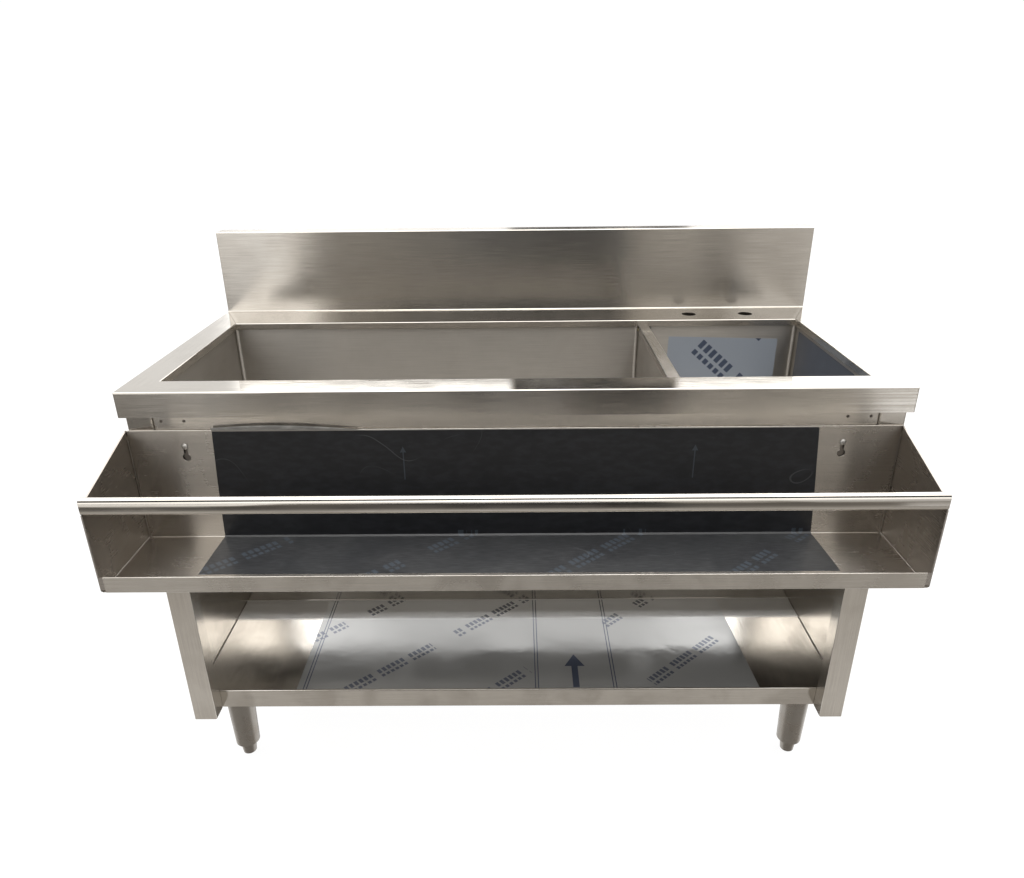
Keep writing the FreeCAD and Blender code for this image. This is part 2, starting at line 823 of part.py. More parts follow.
def make_strainer():
    """The lift-out basket of the sink's drain, with a ring of holes and a knob."""
    wide = "sink_waste_cup / 2 - waste_wall"
    seat = "sink_floor + waste_rim + strainer_seat"
    low = seat + " - strainer_depth"
    outer = wide + " - strainer_gap"
    made = turned("sink_strainer", "sink_middle", "bowl_line", [
        ("0", low), (outer, low), (outer, seat), (wide + " + strainer_rim", seat),
        (wide + " + strainer_rim", seat + " + strainer_wall"),
        (outer + " - strainer_wall", seat + " + strainer_wall"),
        (outer + " - strainer_wall", low + " + strainer_wall"),
        ("strainer_knob / 2", low + " + strainer_wall"),
        ("strainer_knob / 2", low + " + strainer_wall + strainer_knob_height"),
        ("0", low + " + strainer_wall + strainer_knob_height")])
    sketch = sketch_on(made, "XY_Plane", low + " - overcut", "sink_middle", "bowl_line")
    ring(sketch, "strainer_ring / 2", "0", "strainer_hole")
    hole = pocket(made, sketch, "strainer_wall + 2 * overcut", backwards=True)
    around = made.newObject("PartDesign::PolarPattern", "around")
    around.Originals = [hole]
    around.Axis = (sketch, ["N_Axis"])
    around.Angle = 360
    around.Occurrences = STRAINER_HOLES
    made.Tip = around
    doc.recompute()


# ---------------------------------------------------------------- bottle trough
def make_tray():
    """The trough's back, floor and lip in one sheet, with two keyholes to hang it by."""
    made = body("trough_tray")
    path = [("trough_front + fold", "trough_lip_top - hem"),
            ("trough_front + fold", "trough_lip_top"), ("trough_front", "trough_lip_top"),
            ("trough_front", "trough_under"), ("trough_back", "trough_under"),
            ("trough_back", "trough_top"), ("trough_back - fold", "trough_top"),
            ("trough_back - fold", "trough_top - trough_hem")]
    folded_sheet(made, "YZ_Plane", path, 1, "2 * end_inner", "trough_shift", tight=(1, 2, 5, 6))
    sketch = sketch_on(made, "XZ_Plane", "-trough_front + overcut", "trough_shift")
    for left, right in (("-end_inner - overcut", "-end_tab_inner"),
                        ("end_tab_inner", "end_inner + overcut")):
        draw(sketch, rectangle(left, right, "trough_under - overcut", "trough_lip_top + overcut"))
    pocket(made, sketch, "bend_radius + overcut")
    holes = sketch_on(made, "XZ_Plane", "-trough_back + fold + overcut", "trough_shift")
    slots = sketch_on(made, "XZ_Plane", "-trough_back + fold + overcut", "trough_shift")
    for side in ("-", ""):
        across = side + "key_half"
        ring(holes, across, "key_line - key_travel", "key_hole")
        ring(holes, across, "slot_top", "key_slot")
        draw(slots, rectangle(across + " - key_slot / 2", across + " + key_slot / 2",
                              "key_line - key_travel", "slot_top"))
    pocket(made, holes, "fold + 2 * overcut")
    pocket(made, slots, "fold + 2 * overcut")


def make_trough_end(label, sign):
    """An end plate: doubled front and top edges, and a tab round on to the lip."""
    made = body(label)
    plane = times(sign, "end_inner") + " + trough_shift"
    corners = [("trough_back", "trough_under"), ("trough_front", "trough_under"),
               ("trough_front", "rail_bottom"), ("rail_back", "rail_bottom"),
               ("rail_back", "strip_top"), ("trough_back", "trough_top")]
    sketch = draw(sketch_on(made, "YZ_Plane", plane), corners)
    pad(made, sketch, "sheet", backwards=sign < 0)
    corner = edges_at("YZ_Plane", [(value("trough_front"), value("trough_under"))])
    round_edges(made, "end_corner", corner)
    slope = "(trough_top - strip_top) / (trough_back - rail_back)"
    drop = "edge_hem * sqrt(1 + (%s) * (%s))" % (slope, slope)
    stop = "trough_back - 2 * fold"
    top = "trough_top - 2 * fold * " + slope
    sketch = sketch_on(made, "YZ_Plane", plane)
    draw(sketch, rectangle("trough_front", "trough_front + edge_hem",
                           "trough_lip_top + hem_step", "rail_bottom"))
    draw(sketch, [("rail_back + hem_step", "strip_top + hem_step * " + slope), (stop, top),
                  (stop, top + " - " + drop),
                  ("rail_back + hem_step", "strip_top + hem_step * %s - %s" % (slope, drop))])
    pad(made, sketch, "sheet + hem_gap", backwards=sign > 0)
    left, right = ("end_tab_inner", "end_inner") if sign > 0 else ("-end_inner", "-end_tab_inner")
    sketch = sketch_on(made, "XZ_Plane", "-trough_front", "trough_shift")
    draw(sketch, rectangle(left, right, "trough_under + end_corner", "trough_lip_top"))
    pad(made, sketch, "sheet", backwards=True)


def make_front_rail():
    """The rolled rail across the front of the trough, and the caps that close it."""
    nose = [("trough_front", "rail_bottom"), ("rail_back", "rail_bottom"),
            ("rail_back", "strip_top"), ("trough_front + nose_width", "strip_top"),
            ("trough_front + nose_width", "rail_top"), ("trough_front", "rail_top")]
    spots = {name: [(value(deep), value(up)) for deep, up in nose[first:last]]
             for name, first, last in (("foot", 0, 2), ("back", 2, 3), ("nose", 4, 6))}
    parts = (("trough_front_rail", "2 * end_inner", "trough_shift"),
             ("rail_cap_left", "sheet", "trough_shift - end_inner - sheet / 2"),
             ("rail_cap_right", "sheet", "trough_shift + end_inner + sheet / 2"))
    for label, length, middle in parts:
        made = body(label)
        pad(made, draw(sketch_on(made, "YZ_Plane", middle), nose), length, symmetric=True)
        round_edges(made, "nose_round", edges_at("YZ_Plane", spots["nose"]))
        round_edges(made, "rail_round", edges_at("YZ_Plane", spots["foot"]))
        round_edges(made, "strip_round", edges_at("YZ_Plane", spots["back"]))
        if label == "trough_front_rail":
            hollow(made, "sheet", lambda face: near(face.BoundBox.XLength, 0))


# ---------------------------------------------------------------- protective films
def make_films():
    """Thin plastic films left on the trough, on the shelf and on two walls of the sink."""
    made = body("trough_film")
    path = [("trough_back - sheet - trough_film_depth", "trough_floor"),
            ("trough_back - sheet", "trough_floor"),
            ("trough_back - sheet", "trough_top - trough_hem"),
            ("trough_back - fold", "trough_top - trough_hem"),
            ("trough_back - fold", "trough_top")]
    outline = folded(path, 1, "film")
    sketch = draw(sketch_on(made, "YZ_Plane", "trough_shift"), outline)
    pad(made, sketch, "2 * (trough_half - trough_film_inset)", symmetric=True)
    spots = [(value(deep), value(up)) for deep, up in outline]
    round_edges(made, "bend_radius - sheet", edges_at("YZ_Plane", [spots[1]]))
    round_edges(made, "bend_radius - sheet - film", edges_at("YZ_Plane", [spots[-2]]))
    films = (("shelf_film", "shelf_film_left - side_inner", "lip_face + film_margin", "shelf_top",
              "2 * side_inner - shelf_film_left - shelf_film_right",
              "shelf_depth - sheet - 2 * film_margin", "film"),
             ("sink_film_back", "divider_right + back_film_left", "bowl_back - film",
              "worktop_height - back_film_top - back_film_height",
              "back_film_width", "film", "back_film_height"),
             ("sink_film_side", "bowl_side - film", "bowl_front + side_film_front",
              "worktop_height - side_film_top - side_film_height",
              "film", "bowl_back - bowl_front - side_film_front - side_film_back",
              "side_film_height"))
    for label, *spots in films:
        made = slab(*spots)
        made.Label = label
        pieces.append(made)


# ---------------------------------------------------------------- the whole object
make_worktop()
make_bowl("ice_bin_bowl", "-bowl_side", "divider_left", "ice_floor", "ice_middle",
          "ice_waste_cup", "divider_left")
make_bowl("sink_bowl", "divider_right", "bowl_side", "sink_floor", "sink_middle",
          "sink_waste_cup", "divider_right")
make_divider()
make_jacket()
make_side("side_panel_left", -1)
make_side("side_panel_right", 1)
make_front_panel()
make_rear_panel()
make_rails()
make_shelf()
make_base()
make_foot_plates()
make_feet()
make_tray()
make_trough_end("trough_end_left", -1)
make_trough_end("trough_end_right", 1)
make_front_rail()
make_hanging_screws()
make_rivets()
make_waste("ice")
make_waste("sink")
make_strainer()
make_films()
doc.recompute()

for thing in doc.Objects:
    if "Invalid" in thing.State or "Error" in thing.State:
        raise RuntimeError("%s (%s) failed: %s" % (thing.Label, thing.Name, thing.State))
for piece in pieces:
    if piece.Shape.isNull() or not piece.Shape.isValid() or not piece.Shape.Solids:
        raise RuntimeError("%s has no valid shape" % piece.Label)
os.makedirs("parts", exist_ok=True)
for piece in pieces:
    piece.Shape.exportStep("parts/%s.step" % piece.Label)
print("%d pieces written" % len(pieces))
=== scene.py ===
"""The looks of a bar sink with ice bin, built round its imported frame: steel, films, screws and welds."""

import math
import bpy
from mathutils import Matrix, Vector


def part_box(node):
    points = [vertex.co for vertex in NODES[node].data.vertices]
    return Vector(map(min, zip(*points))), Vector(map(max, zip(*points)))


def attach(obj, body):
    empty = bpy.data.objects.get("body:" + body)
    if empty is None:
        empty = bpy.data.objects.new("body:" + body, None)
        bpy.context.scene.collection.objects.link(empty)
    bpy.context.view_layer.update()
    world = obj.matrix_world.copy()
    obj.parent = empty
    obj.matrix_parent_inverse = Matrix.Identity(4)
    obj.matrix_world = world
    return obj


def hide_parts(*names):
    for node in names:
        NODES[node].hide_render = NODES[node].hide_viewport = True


bl_info = {
    "name": "Bar sink with ice bin",
    "version": (1, 0, 0),
    "blender": (4, 5, 0),
    "location": "3D View > Sidebar > Bar sink",
    "description": "Finishes the steel, films, screws and welds of a bar sink, and sets its stage",
    "category": "Object",
}

import bmesh
import bpy
from bpy.props import FloatProperty, FloatVectorProperty, IntProperty, PointerProperty
from mathutils import Matrix, Vector, noise

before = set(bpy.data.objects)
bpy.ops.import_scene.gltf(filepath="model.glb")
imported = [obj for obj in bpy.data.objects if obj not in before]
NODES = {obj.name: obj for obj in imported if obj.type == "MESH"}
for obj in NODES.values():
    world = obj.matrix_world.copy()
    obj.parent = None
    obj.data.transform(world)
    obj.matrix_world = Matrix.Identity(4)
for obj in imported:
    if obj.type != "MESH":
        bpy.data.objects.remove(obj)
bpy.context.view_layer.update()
MM = 0.001
X = Vector((1, 0, 0))
Y = Vector((0, 1, 0))
Z = Vector((0, 0, 1))


# -------- settings
def colour(name, description, value):
    """A colour that the panel shows."""
    return FloatVectorProperty(name=name, description=description, subtype="COLOR", size=3,
                               min=0, max=1, default=value)


def length(name, description, value):
    """A length that the panel shows."""
    return FloatProperty(name=name, description=description, unit="LENGTH", default=value)


def share(name, description, value):
    """A share from 0 to 1 that the panel shows."""
    return FloatProperty(name=name, description=description, subtype="FACTOR",
                         min=0, max=1, default=value)


class SteelSettings(bpy.types.PropertyGroup):
    """Colours and sheen of the bare steel."""
    clean: colour("Clean steel", "Colour of brushed sheet", (0.57, 0.54, 0.495))
    dull: colour("Dull steel", "Colour of mill-finished sheet", (0.48, 0.46, 0.43))
    stain: colour("Stain", "Colour of smudges and heat marks", (0.32, 0.285, 0.25))
    roughness: share("Roughness", "Roughness of brushed sheet", 0.16)
    grain: share("Grain", "How far the brush lines tilt the surface", 0.12)


class FilmSettings(bpy.types.PropertyGroup):
    """Colours of the protective films."""
    black: colour("Black film", "Colour of the trough's film", (0.0115, 0.0125, 0.0155))
    haze: colour("Haze", "Colour of the dusty scratches on the black film", (0.06, 0.061, 0.062))
    clear: colour("Clear film", "Colour of the shelf's film over the steel", (0.33, 0.333, 0.33))
    pale: colour("Pale film", "Colour of the film on the sink's back wall", (0.35, 0.39, 0.45))
    dark: colour("Dark film", "Colour of the film on the sink's side wall", (0.055, 0.062, 0.078))
    ink: colour("Ink", "Colour of the printed lines", (0.025, 0.042, 0.09))
    faint: colour("Faint ink", "Colour of the lines on the black film", (0.075, 0.095, 0.12))


class DetailSettings(bpy.types.PropertyGroup):
    """Sizes of the small details."""
    bead: length("Weld bead", "Width of a weld bead", 2.4 * MM)
    ripple: length("Weld ripple", "Distance between the ripples of a bead", 1.6 * MM)
    film: length("Film", "Thickness of the films", 0.15 * MM)
    curl: length("Film curl", "Height of the film's loose top edge", 11.5 * MM)
    turns: IntProperty(name="Segments", description="Sides of a turned detail", default=32)


class StageSettings(bpy.types.PropertyGroup):
    """Camera and light."""
    lens: FloatProperty(name="Lens", description="Focal length in millimetres", default=27.41)
    pitch: FloatProperty(name="Pitch", description="How far the camera looks down",
                         subtype="ANGLE", default=math.radians(24.7))
    yaw: FloatProperty(name="Yaw", description="How far the camera looks to the left",
                       subtype="ANGLE", default=math.radians(-0.5))
    roll: FloatProperty(name="Roll", description="How far the camera leans",
                        subtype="ANGLE", default=math.radians(-0.6))
    sky: FloatProperty(name="Sky", description="Strength of the surroundings", default=1.0)


SETTINGS = {"bar_steel": SteelSettings, "bar_film": FilmSettings,
            "bar_detail": DetailSettings, "bar_stage": StageSettings}


# -------- node trees
# A face looks along an axis where its normal has more of it than this.
FACING = 0.7


def rgba(value):
    """A colour with its alpha."""
    return (*value, 1.0)


def maths(operation):
    """A Tree method that adds one kind of maths node."""
    return lambda tree, *values: tree.math(operation, *values)


def mixer(kind, rank):
    """A Tree method that mixes two values of one kind. Their sockets are told by the kind's rank."""
    def mixed(tree, fac, one, other):
        inputs = {"Factor": fac, 2 * rank + 2: one, 2 * rank + 3: other}
        return tree.add("Mix", inputs, data_type=kind).outputs[rank]

    return mixed


class Tree:
    """A node tree, with short ways to add nodes and to link them.

    within(value, middle, reach) is 1 where a value lies within a reach of the middle, and 0 elsewhere.
    """
    blend = mixer("FLOAT", 0)
    either = mixer("VECTOR", 1)
    mix = mixer("RGBA", 2)
    within = maths("COMPARE")
    times = maths("MULTIPLY")
    plus = maths("ADD")
    minus = maths("SUBTRACT")
    above = maths("GREATER_THAN")
    below = maths("LESS_THAN")
    most = maths("MAXIMUM")
    modulo = maths("FLOORED_MODULO")
    magnitude = maths("ABSOLUTE")

    def __init__(self, tree):
        self.tree = tree

    def add(self, kind, inputs=None, **settings):
        """A node whose sockets take values or other nodes' sockets."""
        made = self.tree.nodes.new("ShaderNode" + kind)
        for name, setting in settings.items():
            setattr(made, name, setting)
        for key, given in (inputs or {}).items():
            self.feed(made.inputs[key], given)
        return made

    def feed(self, socket, given):
        """Link a socket, or set its own value."""
        if isinstance(given, bpy.types.NodeSocket):
            self.tree.links.new(given, socket)
        else:
            socket.default_value = given

    def math(self, operation, *values, clamp=False):
        """A number worked out from others."""
        node = self.add("Math", dict(enumerate(values)), operation=operation, use_clamp=clamp)
        return node.outputs[0]

    def vector(self, operation, *values):
        """A vector worked out from others, or the number that it gives."""
        node = self.add("VectorMath", dict(enumerate(values)), operation=operation)
        return node.outputs["Value" if operation in ("DOT_PRODUCT", "LENGTH") else "Vector"]

    def apart(self, one, other):
        """How far apart two numbers are."""
        return self.magnitude(self.minus(one, other))

    def scaled(self, vector, factor):
        """A vector or colour times a number."""
        return self.vector("SCALE", vector, (0, 0, 0), (0, 0, 0), factor)

    def square_to(self, one, other):
        """The unit vector square to two others."""
        return self.vector("NORMALIZE", self.vector("CROSS_PRODUCT", one, other))

    def normal(self):
        """The way the surface faces."""
        return self.add("NewGeometry").outputs["Normal"]

    def place(self):
        """The point on the piece."""
        return self.add("TexCoord").outputs["Object"]

    def facing_up(self):
        """1 on faces that look up."""
        return self.above(self.split(self.normal())[2], FACING)

    def split(self, vector):
        """The three numbers of a vector."""
        return self.add("SeparateXYZ", {0: vector}).outputs

    def join(self, x=0.0, y=0.0, z=0.0):
        """A vector from three numbers."""
        return self.add("CombineXYZ", {0: x, 1: y, 2: z}).outputs[0]

    def noise(self, vector, scale=1.0, detail=2.0, distortion=0.0):
        """Soft noise from 0 to 1 about 0.5."""
        node = self.add("TexNoise", {"Vector": vector, "Scale": scale, "Detail": detail,
                                     "Distortion": distortion})
        return node.outputs["Fac"]

    def ease(self, value, low, high, start=0.0, end=1.0):
        """A smooth step from start to end while the value goes from low to high."""
        node = self.add("MapRange", {"Value": value, "From Min": low, "From Max": high,
                                     "To Min": start, "To Max": end}, interpolation_type="SMOOTHSTEP")
        return node.outputs[0]

    def tint(self, base, mask, amount, tone):
        """A colour drawn to a tone by a mask times an amount."""
        return self.mix(self.times(mask, amount), base, rgba(tone))

    def ramp(self, fac, stops):
        """A grey that runs through (place, level) stops."""
        node = self.add("ValToRGB", {"Fac": fac})
        points = node.color_ramp.elements
        node.color_ramp.interpolation = "EASE"
        for i, (place, level) in enumerate(stops):
            point = points[i] if i < 2 else points.new(place)
            point.position = place
            point.color = (level, level, level, 1)
        return node.outputs["Color"]

    def bump(self, height, strength, distance):
        """A normal bent by a height."""
        node = self.add("Bump", {"Height": height, "Strength": strength, "Distance": distance})
        return node.outputs[0]

    def group(self, name, **inputs):
        """A placed node group."""
        node = self.tree.nodes.new("ShaderNodeGroup")
        node.node_tree = bpy.data.node_groups[name]
        for key, given in inputs.items():
            self.feed(node.inputs[key.replace("_", " ")], given)
        return node.outputs


def node_group(name, inputs, outputs):
    """An empty group, its tree helper, its input sockets and its output node."""
    tree = bpy.data.node_groups.new(name, "ShaderNodeTree")
    for label, (kind, default) in inputs.items():
        socket = tree.interface.new_socket(label, in_out="INPUT", socket_type="NodeSocket" + kind)
        socket.default_value = default
    for label, kind in outputs.items():
        tree.interface.new_socket(label, in_out="OUTPUT", socket_type="NodeSocket" + kind)
    helper = Tree(tree)
    given = tree.nodes.new("NodeGroupInput").outputs
    result = tree.nodes.new("NodeGroupOutput").inputs
    return helper, given, result


def make_brush_lines():
    """Parallel brush lines, which spread a reflection across them and mottle the sheet."""
    t, given, result = node_group(
        "Brush lines",
        {"Position": ("Vector", (0, 0, 0)), "Along": ("Vector", (1, 0, 0)), "Depth": ("Float", 0.5)},
        {"Normal": "Vector", "Streaks": "Float"})
    normal = t.normal()
    across = t.square_to(normal, given["Along"])
    side = t.vector("DOT_PRODUCT", given["Position"], across)
    way = t.vector("DOT_PRODUCT", given["Position"], given["Along"])
    fine = t.noise(t.join(t.times(side, 2400.0), t.times(way, 14.0)), detail=0)
    tilt = t.times(t.minus(fine, 0.5), given["Depth"])
    bent = t.vector("ADD", normal, t.scaled(across, tilt))
    t.feed(result["Normal"], t.vector("NORMALIZE", bent))
    wide = t.join(t.times(side, 700.0), t.times(way, 9.0))
    t.feed(result["Streaks"], t.noise(wide, detail=3))


def make_smudges():
    """Soft blotches, as from hands and wiping."""
    t, given, result = node_group(
        "Smudges",
        {"Position": ("Vector", (0, 0, 0)), "Size": ("Float", 0.1), "Spread": ("Float", 0.15)},
        {"Mask": "Float"})
    spot = t.vector("DIVIDE", given["Position"], t.join(given["Size"], given["Size"], given["Size"]))
    cloud = t.noise(spot, detail=4, distortion=0.5)
    low = t.minus(0.56, given["Spread"])
    high = t.plus(0.56, given["Spread"])
    t.feed(result["Mask"], t.ease(cloud, low, high))


def make_scratches():
    """Thin curved scratches that come and go."""
    t, given, result = node_group(
        "Scratches",
        {"Position": ("Vector", (0, 0, 0)), "Scale": ("Float", 6.0), "Width": ("Float", 0.004)},
        {"Mask": "Float"})
    field = t.noise(given["Position"], scale=given["Scale"], detail=1, distortion=0.3)
    line = t.within(field, 0.5, given["Width"])
    twice = t.times(given["Scale"], 1.7)
    shown = t.ease(t.noise(given["Position"], scale=twice, detail=2), 0.54, 0.62)
    t.feed(result["Mask"], t.times(line, shown))


def make_dashes():
    """Rows of short printed dashes on a slant, in place of print."""
    t, given, result = node_group(
        "Dashes",
        {"Across": ("Float", 0.0), "Up": ("Float", 0.0), "Slant": ("Float", 0.6),
         "Row": ("Float", 0.16), "Height": ("Float", 0.008)},
        {"Mask": "Float"})
    across, up, slant, row, height = (given[i] for i in range(5))
    turn_x = t.math("COSINE", slant)
    turn_y = t.math("SINE", slant)
    way = t.plus(t.times(across, turn_x), t.times(up, turn_y))
    side = t.minus(t.times(up, turn_x), t.times(across, turn_y))
    place = t.modulo(side, row)
    tall = t.within(place, t.times(row, 0.5), height)
    small = t.within(place, t.minus(t.times(row, 0.5), t.times(height, 2.4)), t.times(height, 0.6))
    step = t.times(height, 1.7)
    dash = t.within(t.modulo(way, step), t.times(step, 0.5), t.times(step, 0.33))
    dash = t.times(dash, t.above(t.modulo(way, t.times(step, 7.0)), step))
    number = t.math("FLOOR", t.math("DIVIDE", side, row))
    shift = t.minus(t.times(number, 0.113), 0.209)
    present = t.below(t.modulo(t.plus(way, shift), 0.325), 0.255)
    t.feed(result["Mask"], t.times(t.times(t.most(tall, small), dash), present))


# -------- materials
def shader(name, roughness, metallic=1.0, coat=0.0):
    """A new material: its tree, its Principled shader and the point on the piece."""
    made = bpy.data.materials.new(name)
    made.use_nodes = True
    t = Tree(made.node_tree)
    principled = made.node_tree.nodes["Principled BSDF"]
    principled.inputs["Metallic"].default_value = metallic
    principled.inputs["Roughness"].default_value = roughness
    principled.inputs["Coat Weight"].default_value = coat
    point = t.place()
    return made, t, principled.inputs, point


def grain_by(axis, usual, facing):
    """The way of the brush lines: one for most faces, and one for those that face along an axis."""
    def grain(t):
        along = t.above(t.magnitude(t.split(t.normal())[axis]), FACING)
        return t.either(along, tuple(usual), tuple(facing))

    return grain


# On folded sheet the lines are level on every face.
sheet_grain = grain_by(0, X, Y)
# They run up an upright sheet, and level on a level face.
upright_grain = grain_by(2, Z, X)
# They run front to back on the shelf, and level on its lips.
shelf_grain = grain_by(2, X, Y)


def turned_grain(t):
    """Lathe lines round a turned piece."""
    tilted = t.vector("ADD", t.normal(), (0.013, 0.007, 0.0))
    return t.square_to(tuple(Z), tilted)


def steel(name, tone, grain, roughness, depth, smudge, size=0.14, extra=None, bend=None, painted_light_patch=None):
    """Brushed steel: grain, soft smudges and fine scratches.

    extra may add marks and painted light or shade, bend may round the surface to the eye, and matt may
    give a pale, rougher patch of painted light.
    """
    settings = bpy.context.scene.bar_steel
    made, t, sockets, point = shader(name, roughness)
    along = grain(t)
    lines = t.group("Brush lines", Position=point, Along=along, Depth=depth)
    smudges = t.group("Smudges", Position=point, Size=size, Spread=0.16)["Mask"]
    marks = t.group("Smudges", Position=point, Size=size * 0.22, Spread=0.12)["Mask"]
    scratch = t.group("Scratches", Position=point, Scale=7.0, Width=0.0012)["Mask"]
    streaks = lines["Streaks"]
    base = t.tint(rgba(tone), smudges, smudge, settings.stain)
    base = t.tint(base, marks, 0.05, settings.stain)
    base = t.scaled(base, t.ease(streaks, 0.25, 0.75, 0.93, 1.06))
    base = t.tint(base, scratch, 0.05, (0.9, 0.88, 0.85))
    rough = t.plus(t.times(t.minus(streaks, 0.5), 0.05), roughness)
    rough = t.math("ADD", rough, t.times(smudges, 0.06), clamp=True)
    if extra:
        base, rough = extra(t, point, base, rough)
    # Painted light: a pale, rougher, less metallic patch stands in for bright light falling there.
    if painted_light_patch:
        painted_light_mask = painted_light_patch(t, point)
        base = t.mix(painted_light_mask, base, (0.90, 0.89, 0.87, 1))
        rough = t.plus(rough, t.times(painted_light_mask, 0.25))
        t.feed(sockets["Metallic"], t.minus(1.0, t.times(painted_light_mask, 0.95)))
    t.feed(sockets["Base Color"], base)
    t.feed(sockets["Roughness"], rough)
    t.feed(sockets["Normal"], bend(t, point, lines["Normal"]) if bend else lines["Normal"])
    sockets["Anisotropic"].default_value = 0.9
    t.feed(sockets["Tangent"], t.square_to(t.normal(), along))
    return made


def film(name, tone, metallic, roughness, prints=None, haze=0.0, settled=0.0, edge=None, painted_light_patch=None):
    """A plastic film: ripples, dusty haze and scratches, and whatever is printed on it.

    On the black film the dust lies in fine level streaks, and edge is the height of its pale edge.
    """
    settings = bpy.context.scene.bar_film
    made, t, sockets, point = shader(name, roughness, metallic, coat=0.15)
    sockets["Coat Roughness"].default_value = 0.12
    sockets["Specular IOR Level"].default_value = 0.35
    dust = t.group("Smudges", Position=point, Size=0.16, Spread=0.3)["Mask"]
    scratch = t.group("Scratches", Position=point, Scale=4.0, Width=0.0007)["Mask"]
    veil = t.times(t.facing_up(), settled)
    dusty = t.plus(t.times(dust, haze), t.times(veil, t.ease(dust, 0, 1, 0.6, 1.0)))
    base = t.mix(dusty, rgba(tone), rgba(settings.haze))
    if edge:
        stretched = t.vector("MULTIPLY", point, (40.0, 420.0, 90.0))
        hatch = t.ease(t.noise(stretched, detail=3), 0.35, 0.75, 0.8, 1.35)
        base = t.scaled(base, hatch)
        brim = t.within(t.split(point)[2], edge, 0.9 * MM)
        base = t.tint(base, brim, 0.9, (0.42, 0.40, 0.37))
    base = t.tint(base, scratch, 0.08, (0.4, 0.42, 0.44))
    # Painted light: where the mask is 1 the film turns pale and less metallic, standing in for bright
    # light falling there.
    if painted_light_patch:
        painted_light_mask = painted_light_patch(t, point)
        base = t.mix(painted_light_mask, base, (0.94, 0.945, 0.94, 1))
        t.feed(sockets["Metallic"], t.times(t.minus(1.0, painted_light_mask), metallic))
    if prints:
        ink = settings.faint if edge else settings.ink
        base = t.tint(base, prints(t, point), 0.85, ink)
    t.feed(sockets["Base Color"], base)
    t.feed(sockets["Roughness"], t.plus(t.times(dust, 0.16), roughness))
    t.feed(sockets["Normal"], t.bump(t.noise(point, scale=26.0, detail=3), 0.12, 2 * MM))
    return made


def dress(names, material):
    """Give CAD nodes a material in every slot."""
    for name in names:
        slots = NODES[name].data.materials
        slots.clear()
        slots.append(material)


# -------- marks, painted shade and painted highlights on the steel
def rail_bend(t, point, normal):
    """Rounds the front of the trough's rail, from its bottom edge to its top."""
    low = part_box("trough_front_rail")[0].z
    facing = t.below(t.split(normal)[1], -0.5)
    up = t.split(point)[2]
    foot = t.ease(up, low + 2 * MM, low + 11 * MM, -0.10, 0.06)
    brow = t.ease(up, low + 14 * MM, low + 21.5 * MM, 0.0, 0.6)
    tilt = t.times(facing, t.plus(foot, brow))
    return t.vector("NORMALIZE", t.vector("ADD", normal, t.join(z=tilt)))


def rail_painted_shade(t, point, base, rough):
    """A painted shade line under the rail's top edge, standing in for a groove, and a painted dark
    reflection across the middle of its front.
    """
    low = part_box("trough_front_rail")[0]
    _, y, z = t.split(point)
    painted_groove_shade = t.times(t.below(y, low.y + 7 * MM), t.within(z, low.z + 26 * MM, 1.3 * MM))
    # Painted reflection: the middle of the rail's front is darkened, standing in for the dark room that it
    # reflects.
    off = t.apart(z, low.z + 15 * MM)
    painted_dark_band = t.times(t.below(y, low.y + 2 * MM), t.ease(off, 2 * MM, 9 * MM, 0.55, 0.0))
    base = t.mix(painted_dark_band, base, (0.10, 0.085, 0.07, 1))
    # The groove's shade is painted as a near-black line.
    return t.tint(base, painted_groove_shade, 0.95, (0.012, 0.011, 0.01)), rough


HALF_WIDTH = 0.75
OPENING_SIDE = 0.688
OPENING_BACK = 0.271
SPLASH_FACE = 0.401
MITRE_SLOPE = (SPLASH_FACE - OPENING_BACK) / (HALF_WIDTH - OPENING_SIDE)
DECK_LEVEL = 0.949
APRON_FACE = -0.2475
TROUGH_INSIDE = -0.448
BRIM_START = 0.915
BRIM_END = 0.935
SHELF_TOP = 0.213
SHELF_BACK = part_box("bottom_shelf")[1].y


def on_deck(t, z):
    """1 on the top of the deck."""
    return t.within(z, DECK_LEVEL, 1.5 * MM)


def worktop_grain(t):
    """Level lines, but front to back on the strips beside the bowls, up to their mitres."""
    along = sheet_grain(t)
    x, y, z = t.split(t.place())
    out = t.minus(t.magnitude(x), OPENING_SIDE)
    mitre = t.plus(t.times(out, MITRE_SLOPE), OPENING_BACK)
    beside = t.times(t.above(out, 0.0), t.below(y, mitre))
    return t.either(t.times(beside, on_deck(t, z)), along, tuple(Y))


